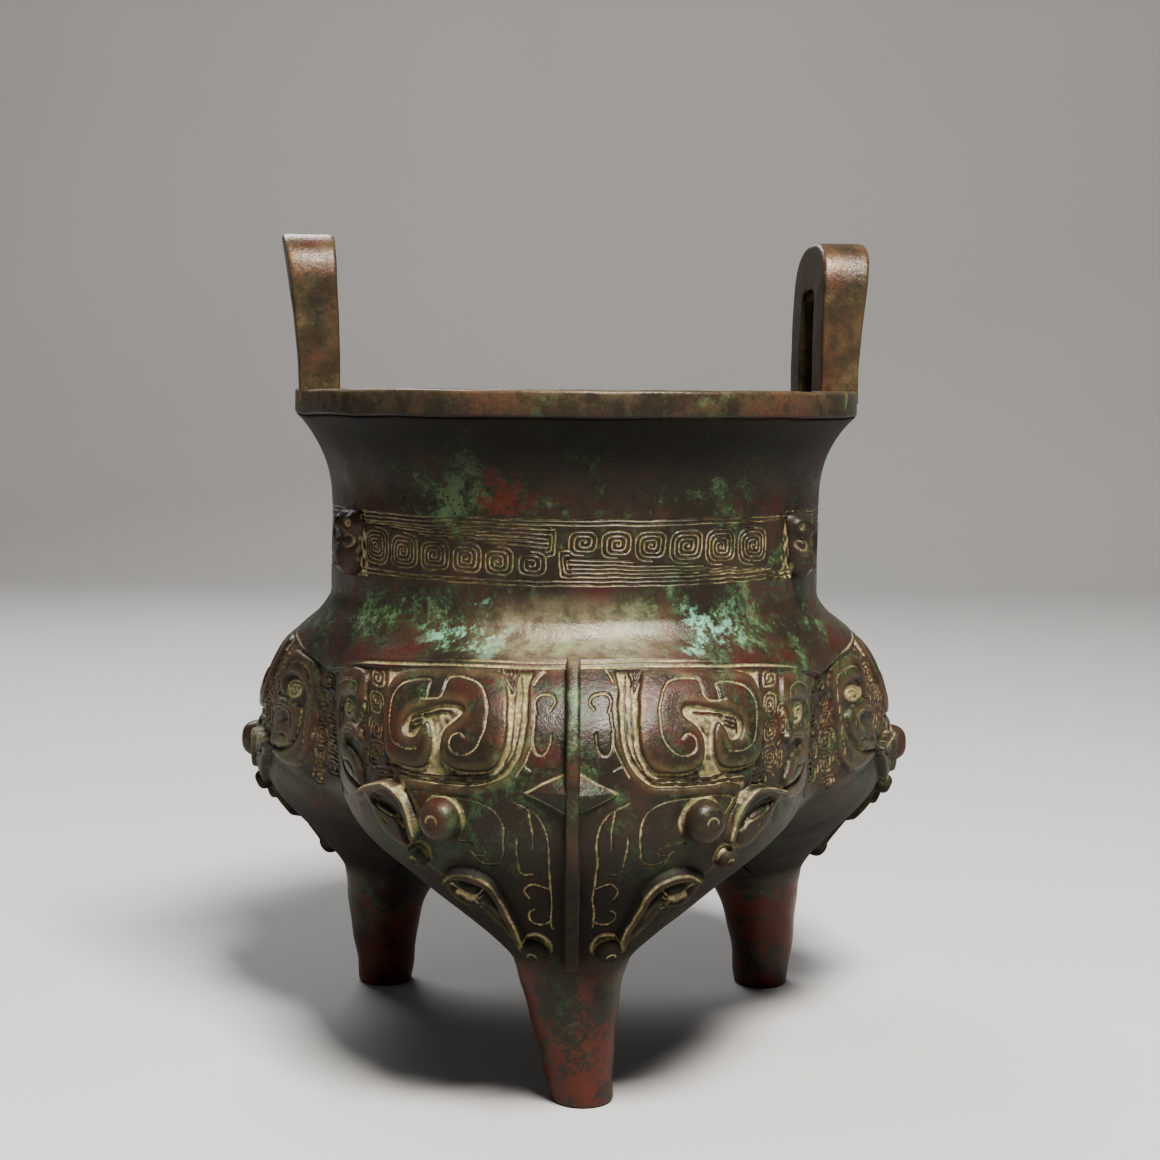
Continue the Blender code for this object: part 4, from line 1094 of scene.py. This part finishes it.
def mouth_surfaces():
    """The turned mouth, joined to the band's finer columns by a strip of triangles."""
    angles, _ = ring_turns()
    coarse = np.linspace(-SECTOR, LAST_TURN, MOUTH_COLUMNS + 1)[:-1]
    profile = mouth_profile()
    angle, radius = np.meshgrid(coarse, profile[1:, 0])
    z = profile[1:, 1][:, None] + 0.0 * angle
    points = around(angle, radius, z)
    corner = np.hypot(radius - LIP_RADIUS, z - LIP_HEIGHT)
    rubbed = 0.3 * (1.0 - soft_step(corner, 1.0, 3.4))
    lip_foot = LIP_HEIGHT - LIP_THICKNESS
    dust = 0.25 * soft_step(z, lip_foot, lip_foot + 1.0)
    faces = grid_faces(len(profile) - 1, MOUTH_COLUMNS, wrap=True)
    mouth = surface(points, faces, worn=rubbed, deposit=dust)
    fine_row = around(angles, NECK_RADIUS, profile[0, 1])
    fine_row = np.vstack([fine_row, fine_row[:1]])
    coarse_row = np.vstack([points[0], points[0][:1]])
    fine_turns, coarse_turns = np.append(angles, LAST_TURN), np.append(coarse, LAST_TURN)
    joint, faces = zip_rows(fine_row, coarse_row, fine_turns, coarse_turns)
    return [mouth, surface(joint, faces)]


def crotch_height(turn, section, bottom, closed):
    """The height where a leg's inner face meets the plane between two lobes, found by halving."""
    low, high = np.full(turn.shape, bottom), np.full(turn.shape, closed)
    for _ in range(50):
        z = 0.5 * (low + high)
        middle, radius = section(z)
        outside = math.tan(SECTOR) * (middle + radius * np.cos(turn)) > radius * np.abs(np.sin(turn))
        low, high = np.where(outside, z, low), np.where(outside, high, z)
    return 0.5 * (low + high)


def facing_axis(columns):
    """Evenly spaced angles round a lobe's own middle, over the third of it that faces the axis."""
    return np.linspace(2 * SECTOR, 2 * math.pi - 2 * SECTOR, columns + 1)


def crotch_surface(lobe, section, bottom, rows, columns, flip=False):
    """A leg's inner face from a height up to where it meets the next lobes."""
    closed = closing_height(section)
    turn = facing_axis(columns)
    top = crotch_height(turn, section, bottom, closed)
    top[[0, -1]] = closed
    top[columns // 2] = closed
    z = bottom + np.linspace(0.0, 1.0, rows)[:, None] * (top[None, :] - bottom)
    points = section_point(turn[None, :] + 0.0 * z, z, section)
    return surface(turned(points, 2 * SECTOR * lobe), grid_faces(rows, columns + 1, flip=flip))


def leg_point(turn, z, lobe):
    """A point of a leg: its round section with low casting ripples, the front one bent a little."""
    middle, radius = lobe_section(z)
    free = soft_step(LEG_HEIGHT - z, 0.0, 6.0) * soft_step(z, 0.0, 3.0)
    ripple = 0.16 * np.sin(3 * turn + 0.21 * z + lobe) + 0.10 * np.sin(0.55 * z + 2.0 * np.sin(turn + lobe))
    radius = radius + free * ripple
    points = np.stack([radius * np.sin(turn), -middle - radius * np.cos(turn), z + 0.0 * turn], axis=-1)
    points = turned(points, 2 * SECTOR * lobe)
    if lobe == 0:
        points[..., 0] += FOOT_SWAY * np.clip(1.0 - z / LEG_HEIGHT, 0.0, None) ** 2
    return points


def make_leg(name, lobe):
    """A tapering leg with a rounded foot, and the inner face of the lobe over it."""
    columns = FRONT_COLUMNS if lobe == 0 else REAR_COLUMNS
    outer = 2.0 * lobe_turns(columns)
    fine = np.concatenate([outer, facing_axis(CROTCH_COLUMNS)[1:]])
    upper = section_point(fine, np.full(len(fine), LEG_HEIGHT), lobe_section)
    upper = turned(upper, 2 * SECTOR * lobe)
    coarse = np.linspace(-2 * SECTOR, 2 * math.pi - 2 * SECTOR, SHAFT_COLUMNS + 1)
    levels = np.linspace(FOOT_ROUNDING, LEG_HEIGHT - 0.4, SHAFT_ROWS)
    shaft = leg_point(*np.meshgrid(coarse[:-1], levels), lobe)
    surfaces = [surface(shaft, grid_faces(SHAFT_ROWS, SHAFT_COLUMNS, wrap=True))]
    top = np.vstack([shaft[-1], shaft[-1][:1]])
    joint, faces = zip_rows(top, upper, coarse, fine)
    surfaces.append(surface(joint, faces))

    # The foot's edge rounds into its flat end.
    centre = leg_point(np.array([0.0, math.pi]), np.full(2, 0.5 * FOOT_ROUNDING), lobe).mean(axis=0)
    edge = leg_point(coarse[:-1], np.full(SHAFT_COLUMNS, FOOT_ROUNDING), lobe)
    out = unit((edge - centre) * np.array([1.0, 1.0, 0.0]))
    rims = []
    for angle in np.linspace(0.0, 0.5 * math.pi, 5)[::-1]:
        row = edge - out * FOOT_ROUNDING * (1 - math.cos(angle))
        row[:, 2] = FOOT_ROUNDING - FOOT_ROUNDING * math.sin(angle)
        rims.append(row)
    surfaces.append(surface(np.stack(rims), grid_faces(len(rims), SHAFT_COLUMNS, wrap=True)))
    end, faces = disc(rims[0], (centre[0], centre[1], 0.0), flip=True)
    surfaces.append(surface(end, faces))
    rows = FRONT_UNDER_ROWS if lobe == 0 else REAR_UNDER_ROWS
    surfaces.append(crotch_surface(lobe, lobe_section, LEG_HEIGHT, rows, CROTCH_COLUMNS))
    return make_piece(name, surfaces)


def hollow_surfaces():
    """The inside: bore, inner lobes and the three pockets with their floors."""
    closed = closing_height(inner_section)
    turns = np.concatenate([lobe_turns(HOLLOW_COLUMNS)[:-1]] * 3)
    angles = turns + np.repeat(2 * SECTOR * np.arange(3), HOLLOW_COLUMNS)
    levels = np.linspace(closed, BELLY_HEIGHT, 14)
    levels = np.append(levels, np.linspace(BELLY_HEIGHT, HOLLOW_TOP, 22)[1:])
    turn, z = np.meshgrid(turns, levels)
    points = around(angles, body_radius(turn, z, inner_section, NECK_RADIUS - WALL, closed), z)
    surfaces = [surface(points, grid_faces(len(levels), len(turns), wrap=True, flip=True), deposit=0.25)]

    # Up to the slope under the lip, where the mouth's columns take over.
    coarse = np.linspace(-SECTOR, LAST_TURN, MOUTH_COLUMNS + 1)
    end = mouth_profile()[-1]
    upper = around(coarse, end[0], end[1])
    lower = np.vstack([points[-1], points[-1][:1]])
    joint, faces = zip_rows(lower, upper, np.append(angles, LAST_TURN), coarse, flip=True)
    surfaces.append(surface(joint, faces, deposit=0.2))

    turn = 2.0 * lobe_turns(HOLLOW_COLUMNS)
    levels = np.linspace(POCKET_FLOOR, closed, POCKET_ROWS)
    pocket = section_point(*np.meshgrid(turn, levels), inner_section)
    full = np.concatenate([turn, facing_axis(CROTCH_COLUMNS)[1:-1]])
    ring = section_point(full, np.full(len(full), POCKET_FLOOR), inner_section)
    centre = np.array([0.0, -float(inner_section(POCKET_FLOOR)[0]), POCKET_FLOOR])
    for lobe in range(3):
        angle = 2 * SECTOR * lobe
        faces = grid_faces(POCKET_ROWS, HOLLOW_COLUMNS + 1, flip=True)
        surfaces.append(surface(turned(pocket, angle), faces, deposit=0.35))
        surfaces.append(
            crotch_surface(lobe, inner_section, POCKET_FLOOR, POCKET_ROWS, CROTCH_COLUMNS, flip=True)
        )
        floor, faces = disc(turned(ring, angle), turned(centre, angle))
        surfaces.append(surface(floor, faces, deposit=0.5))
    return surfaces


def arch_rows(share, half, spring, rise):
    """An upright arch by a share along it: up one leg, over a squared curve and down the other."""
    angle = np.clip(math.pi * (share - 0.25) * 2, 0.0, math.pi)
    power = 2 / 2.3
    across = half * squared(np.cos(angle), power)
    up = spring + rise * squared(np.abs(np.sin(angle)), power)
    leg = np.minimum(share, 1 - share) * 4 * spring
    on_leg = (share < 0.25) | (share > 0.75)
    return np.where(on_leg, half * np.sign(0.5 - share), across), np.where(on_leg, leg, up)


def make_handle(name, side):
    """A loop handle: a rounded section, its corners quarter circles, carried along the arch between
    the loop's outer and inner curves, thicker at the top and leaning out."""
    outside = LIP_RADIUS - HANDLE_INSET
    inside = outside - HANDLE_DEPTH
    spring = HANDLE_HEIGHT - HANDLE_ARCH + HANDLE_ROOT
    opening = 0.5 * HANDLE_WIDTH - HANDLE_BAR
    places = [np.linspace(0, 0.25, 26)[:-1], np.linspace(0.25, 0.75, 73), np.linspace(0.75, 1, 26)[1:]]
    places = np.concatenate(places)
    outer_x, outer_z = arch_rows(places, 0.5 * HANDLE_WIDTH, spring, HANDLE_ARCH)
    inner_x, inner_z = arch_rows(
        places, opening, spring - 0.5 * opening, HANDLE_ARCH - HANDLE_TOP_BAR + 0.5 * opening
    )
    # The section: a squared circle, u across the bar from its outer curve, v through its depth.
    angle = np.linspace(0.0, 2 * math.pi, 49)[:-1]
    power = 0.17
    u = 0.5 - 0.5 * squared(np.cos(angle), power)
    v = 0.5 + 0.5 * squared(np.sin(angle), power)
    x = outer_x[:, None] + (inner_x - outer_x)[:, None] * u[None, :]
    up = outer_z[:, None] + (inner_z - outer_z)[:, None] * u[None, :]
    flare = HANDLE_INNER_FLARE + (HANDLE_FLARE - HANDLE_INNER_FLARE) * v[None, :]
    lean = flare * (np.clip(up - HANDLE_ROOT, 0.0, None) / HANDLE_HEIGHT) ** HANDLE_LEAN_POWER
    out = inside + HANDLE_DEPTH * v[None, :] + lean
    points = np.stack([side * out, x, LIP_HEIGHT - HANDLE_ROOT + up], axis=-1)
    points = turned(points, HANDLE_TURN)
    rows, columns = points.shape[:2]
    edge = np.minimum(np.abs(u - 0.5), np.abs(v - 0.5)) * 2
    rubbed = 0.12 + 0.45 * np.clip(0.5 + 0.9 * wander(points, 9.0, 51), 0.0, 1.0)
    # Lighter worn gold at the handle's foot: a painted highlight.
    rubbed = rubbed + 0.45 * (1.0 - soft_step(up - HANDLE_ROOT, 1.0, 8.0))
    worn = np.clip(rubbed + 0.25 * soft_step(edge, 0.55, 0.95)[None, :], 0.0, 1.0)
    faces = grid_faces(rows, columns, wrap=True, flip=side > 0)
    return make_piece(name, [surface(points, faces, worn=worn)])


def dome_surface(across, up, radius, rise, pupil, lobe):
    """A boss square to the skin: rings whose radius is a power of a cosine and whose height is a sine,
    with a small ring cut round its top."""
    place, normal = on_lobe(across, up, 0.0)
    level = np.linspace(0.0, 0.5 * math.pi, 24)[:-1]
    ring = radius * np.cos(level) ** 0.62
    height = rise * np.sin(level) ** 0.95
    height = height - 0.30 * bell(ring - pupil, 0.28)
    root = np.array([[radius, -1.8]])
    profile = np.vstack([root, np.stack([ring, height], axis=-1)])
    angle = np.linspace(0.0, 2 * math.pi, 45)[:-1]
    side = unit(np.cross(np.array([0.0, 0.0, 1.0]), normal))
    over = np.cross(normal, side)
    spoke = np.cos(angle)[:, None] * side[None, :] + np.sin(angle)[:, None] * over[None, :]
    reach, out = profile[:, 0][:, None, None], profile[:, 1][:, None, None]
    points = place + reach * spoke[None] + out * normal[None, None, :]
    pale = soft_step(-profile[:, 1], -1.3, -0.4) * 0.8
    pale = np.maximum(pale, bell(profile[:, 0] - pupil, 0.3))
    # The pale ring at the root and round the pupil fades on the lower side: deposit, and on the upper side
    # a painted highlight.
    upper = soft_step(np.sin(angle), -0.9, 0.4)[None, :]
    points, tip = turned(points, 2 * SECTOR * lobe), turned(place + normal * rise, 2 * SECTOR * lobe)
    faces = grid_faces(len(profile), len(angle), wrap=True)
    skin = surface(points, faces, deposit=pale[:, None] * upper, worn=0.05)
    cap, faces = disc(points[-1], tip)
    return [skin, surface(cap, faces, worn=0.05)]


def flange_surface(lobe):
    """The fin down the middle of a mask: a rounded section, narrow at its top, carried up the lobe."""
    z = np.linspace(MASK_FOOT - 0.6, MASK_TOP - 0.2, 200)
    share = (z - z[0]) / (z[-1] - z[0])
    height = 3.5 * np.clip(np.sin(math.pi * np.clip(share * 12.0, 0.0, 0.5)), 0.0, 1.0) ** 0.6
    height = height * np.clip(np.sin(math.pi * np.clip((1.0 - share) * 14.0, 0.0, 0.5)), 0.0, 1.0) ** 0.6
    angle = np.linspace(0.0, math.pi, 21)
    across = 1.55 * squared(np.cos(angle), 0.32)
    up = np.abs(np.sin(angle)) ** 0.38
    x = across[None, :] * (1.12 - 0.16 * up[None, :]) + 0.0 * z[:, None]
    root = -1.6
    rise = root + (height[:, None] - root) * up[None, :]
    points, _ = on_lobe(x, z[:, None] + 0.0 * x, rise)
    points = points[:, ::-1]
    worn = 0.1 * up[None, ::-1] ** 4 + 0.0 * x
    pale = 0.5 * (1 - soft_step(up[::-1], 0.5, 0.8))[None, :] + 0.0 * x
    points = turned(points, 2 * SECTOR * lobe)
    return surface(points, grid_faces(len(z), len(angle)), worn=worn, deposit=pale)


def make_ornaments(name, lobe):
    """The fin and the bosses of one mask."""
    surfaces = [flange_surface(lobe)]
    for side in (-1, 1):
        for across, up, radius, rise, pupil in BOSSES:
            surfaces += dome_surface(side * across, up, radius, rise, pupil, lobe)
    return make_piece(name, surfaces, waviness=False)


def make_head(name, lobe):
    """A small beast's head over a valley: sections from muzzle to brow, smoothly joined, with ears,
    brow, eyes and a groove at the mouth raised or sunk on it by bell curves."""
    table = np.array([
        (-0.50, 0.42, 0.34), (-0.42, 0.62, 0.86), (-0.18, 0.74, 1.0), (0.08, 0.80, 0.70),
        (0.28, 1.0, 0.78), (0.44, 0.92, 0.60), (0.50, 0.66, 0.22),
    ])  # fmt: skip
    smooth = curve(table[:, :2], steps=10), curve(table[:, [0, 2]], steps=10)
    rows = 60
    ups = np.linspace(-0.5, 0.5, rows)
    wide = np.interp(ups, smooth[0][:, 0], smooth[0][:, 1])
    rise = np.interp(ups, smooth[1][:, 0], smooth[1][:, 1])
    angle = np.linspace(math.pi, 0.0, 61)
    half = 0.5 * HEAD_WIDTH * wide[:, None]
    side = half * np.cos(angle)[None, :]
    out = HEAD_RISE * rise[:, None] * np.abs(np.sin(angle))[None, :] ** 0.9
    z = HEAD_MIDDLE + HEAD_HEIGHT * ups[:, None] + 0.0 * side

    def bump(x, y, width, tall, height):
        return height * np.exp(-(((np.abs(side) - x) / width) ** 2) - ((z - HEAD_MIDDLE - y) / tall) ** 2)

    ear = np.hypot(np.abs(side) - 3.4, z - HEAD_MIDDLE - 4.6)
    out = out + 0.9 * bell(ear - 1.5, 0.5) * np.sin(angle)[None, :]
    eye = np.hypot(np.abs(side) - 2.6, z - HEAD_MIDDLE - 0.4)
    out = out + bump(2.6, 0.4, 0.8, 0.8, 0.8) - 0.35 * bell(eye - 1.4, 0.35)
    out = out + bump(0.0, 3.0, 0.7, 3.0, 0.8) + bump(1.4, -5.6, 0.8, 0.7, 0.5)
    mouth = -0.5 * bell(z - HEAD_MIDDLE + 6.6 + 0.08 * side**2, 0.35)
    out = out + mouth * np.abs(np.sin(angle))[None, :]
    pale = np.clip(bell(eye - 1.4, 0.4) + bell(ear - 0.6, 0.5) - mouth, 0.0, 1.0)
    edge = 1.0 - soft_step(np.abs(np.sin(angle)), 0.15, 0.5)[None, :] + 0.0 * side
    middle = NECK_RADIUS - 0.9
    points = np.stack([side, -(middle + out), z], axis=-1)
    depth = np.full((rows, 2), -(NECK_RADIUS - 2.0))
    back = np.stack([side[:, [0, -1]], depth, z[:, [0, -1]]], axis=-1)
    points = np.concatenate([back[:, :1], points, back[:, 1:]], axis=1)
    pad = ((0, 0), (1, 1))
    ragged = np.clip(0.10 + 0.7 * wander(np.stack([side, out, z], axis=-1), 2.4, 17), 0.0, 0.8)
    pale = np.pad(np.maximum(0.6 * pale, ragged * edge), pad, mode="edge")
    points = turned(points, SECTOR + 2 * SECTOR * lobe)
    surfaces = [surface(points, grid_faces(rows, points.shape[1]), deposit=pale)]
    for row, flip in ((points[0], True), (points[-1], False)):
        end, faces = disc(row, row.mean(axis=0), flip=flip)
        surfaces.append(surface(end, faces, deposit=0.3))
    return make_piece(name, surfaces, waviness=False)


class BURNER_OT_front_lobe(bpy.types.Operator):
    """Makes the front lobe, in two halves, with its horned mask"""

    bl_idname = "burner.front_lobe"
    bl_label = "Front lobe"

    def execute(self, context):
        turns = lobe_turns(FRONT_COLUMNS)
        half = FRONT_COLUMNS // 2
        make_lobe("front_lobe_left", 0, turns[: half + 1])
        make_lobe("front_lobe_right", 0, turns[half:])
        return {"FINISHED"}


class BURNER_OT_rear_lobes(bpy.types.Operator):
    """Makes the two rear lobes with their horned masks"""

    bl_idname = "burner.rear_lobes"
    bl_label = "Rear lobes"

    def execute(self, context):
        make_lobe("right_lobe", 1, lobe_turns(REAR_COLUMNS))
        make_lobe("left_lobe", 2, lobe_turns(REAR_COLUMNS))
        return {"FINISHED"}


class BURNER_OT_neck(bpy.types.Operator):
    """Makes the neck's carved band"""

    bl_idname = "burner.neck"
    bl_label = "Neck band"

    def execute(self, context):
        make_piece("neck_band", [band_surface()])
        return {"FINISHED"}


class BURNER_OT_mouth(bpy.types.Operator):
    """Makes the shoulder, the flared mouth and the hollow inside"""

    bl_idname = "burner.mouth"
    bl_label = "Mouth and hollow"

    def execute(self, context):
        make_piece("mouth", [shoulder_surface(), *mouth_surfaces(), *hollow_surfaces()])
        return {"FINISHED"}


class BURNER_OT_legs(bpy.types.Operator):
    """Makes the three tapering legs"""

    bl_idname = "burner.legs"
    bl_label = "Legs"

    def execute(self, context):
        for lobe, name in enumerate(("front_leg", "right_leg", "left_leg")):
            make_leg(name, lobe)
        return {"FINISHED"}


class BURNER_OT_handles(bpy.types.Operator):
    """Makes the two loop handles on the lip"""

    bl_idname = "burner.handles"
    bl_label = "Handles"

    def execute(self, context):
        make_handle("right_handle", 1)
        make_handle("left_handle", -1)
        return {"FINISHED"}


class BURNER_OT_ornaments(bpy.types.Operator):
    """Makes the fins and bosses of the masks and the small heads on the neck"""

    bl_idname = "burner.ornaments"
    bl_label = "Fins, bosses and heads"

    def execute(self, context):
        for lobe, name in enumerate(("front", "right", "left")):
            make_ornaments("mask_bosses_" + name, lobe)
        for lobe, name in enumerate(("right", "back", "left")):
            make_head("head_" + name, lobe)
        return {"FINISHED"}


class BURNER_OT_stage(bpy.types.Operator):
    """Makes the pale floor, the soft studio lights and the camera"""

    bl_idname = "burner.stage"
    bl_label = "Stage"

    def execute(self, context):
        # A floor that curves up into a wall far behind: a flat sheet, a quarter round and a flat sheet.
        near, bend_start, bend_radius, wall_top, half_width = -1.6, 1.1, 0.5, 2.6, 2.4
        bend = np.linspace(0.0, 0.5 * math.pi, 17)
        far = bend_start + bend_radius
        depth = np.concatenate([[near], bend_start + bend_radius * np.sin(bend), [far]])
        height = np.concatenate([[0.0], bend_radius - bend_radius * np.cos(bend), [wall_top]])
        x, y = np.meshgrid(np.linspace(-half_width, half_width, 13), depth)
        points = np.stack([x, y, height[:, None] + 0.0 * x], axis=-1)
        mesh = bpy.data.meshes.new("floor")
        mesh.from_pydata(points.reshape(-1, 3).tolist(), [], grid_faces(*x.shape).tolist())
        mesh.polygons.foreach_set("use_smooth", [True] * len(mesh.polygons))
        mesh.materials.append(pale_floor())
        floor = bpy.data.objects.new("floor", mesh)
        context.scene.collection.objects.link(floor)

        world = bpy.data.worlds.new("studio")
        world.use_nodes = True
        world.node_tree.nodes["Background"].inputs["Color"].default_value = (0.93, 0.96, 1.0, 1.0)
        world.node_tree.nodes["Background"].inputs["Strength"].default_value = 0.11
        context.scene.world = world
        for name, place, size, power, tint in (
            ("softbox", (0.22, -0.50, 1.08), (0.34, 0.28), 33.0, (1.0, 0.96, 0.90)),
            ("side_fill", (-0.95, -0.35, 0.45), (0.6, 0.6), 0.4, (0.93, 0.97, 1.0)),
            ("back_rim", (-0.35, 0.75, 0.75), (0.6, 0.3), 5.0, (1.0, 1.0, 1.0)),
        ):
            light = bpy.data.lights.new(name, "AREA")
            light.shape = "RECTANGLE"
            light.size, light.size_y = size
            light.energy = power
            light.color = tint
            lamp = bpy.data.objects.new(name, light)
            lamp.location = place
            aim = Vector((0.0, 0.0, 0.10)) - Vector(place)
            lamp.rotation_euler = aim.to_track_quat("-Z", "Y").to_euler()
            context.scene.collection.objects.link(lamp)

        lens = bpy.data.cameras.new("camera")
        lens.sensor_width = SENSOR_WIDTH
        lens.lens = SENSOR_WIDTH * FOCAL / PICTURE_WIDTH
        lens.clip_start = 0.01
        camera = bpy.data.objects.new("camera", lens)
        camera.location = (CAMERA_ASIDE, AXIS_Y - CAMERA_AWAY, CAMERA_HEIGHT)
        camera.rotation_mode = "XYZ"
        camera.rotation_euler = (0.5 * math.pi - math.atan(AXIS_FALL / FOCAL), 0.0, 0.0)
        camera.rotation_euler.rotate_axis("Z", CAMERA_ROLL)
        context.scene.collection.objects.link(camera)
        context.scene.camera = camera
        context.scene.view_settings.look = "AgX - Medium High Contrast"
        return {"FINISHED"}


class BURNER_PT_panel(bpy.types.Panel):
    """The burner's sizes, colours and pieces"""

    bl_label = "Incense burner"
    bl_idname = "BURNER_PT_panel"
    bl_space_type = "VIEW_3D"
    bl_region_type = "UI"
    bl_category = "Burner"

    def draw(self, context):
        for name in BurnerSettings.__annotations__:
            self.layout.prop(context.scene.burner, name)
        for operator in OPERATORS:
            self.layout.operator(operator.bl_idname)


OPERATORS = (
    BURNER_OT_front_lobe,
    BURNER_OT_rear_lobes,
    BURNER_OT_neck,
    BURNER_OT_mouth,
    BURNER_OT_legs,
    BURNER_OT_handles,
    BURNER_OT_ornaments,
    BURNER_OT_stage,
)


def register():
    """Adds the settings, the operators and the panel to Blender."""
    for kind in (BurnerSettings, *OPERATORS, BURNER_PT_panel):
        bpy.utils.register_class(kind)
    bpy.types.Scene.burner = PointerProperty(type=BurnerSettings)


def unregister():
    """Takes them away again."""
    del bpy.types.Scene.burner
    for kind in (BURNER_PT_panel, *reversed(OPERATORS), BurnerSettings):
        bpy.utils.unregister_class(kind)


def main():
    """Makes every piece in order."""
    register()
    bpy.ops.burner.front_lobe()
    bpy.ops.burner.rear_lobes()
    bpy.ops.burner.neck()
    bpy.ops.burner.mouth()
    bpy.ops.burner.legs()
    bpy.ops.burner.handles()
    bpy.ops.burner.ornaments()
    bpy.ops.burner.stage()


if __name__ == "__main__":
    main()
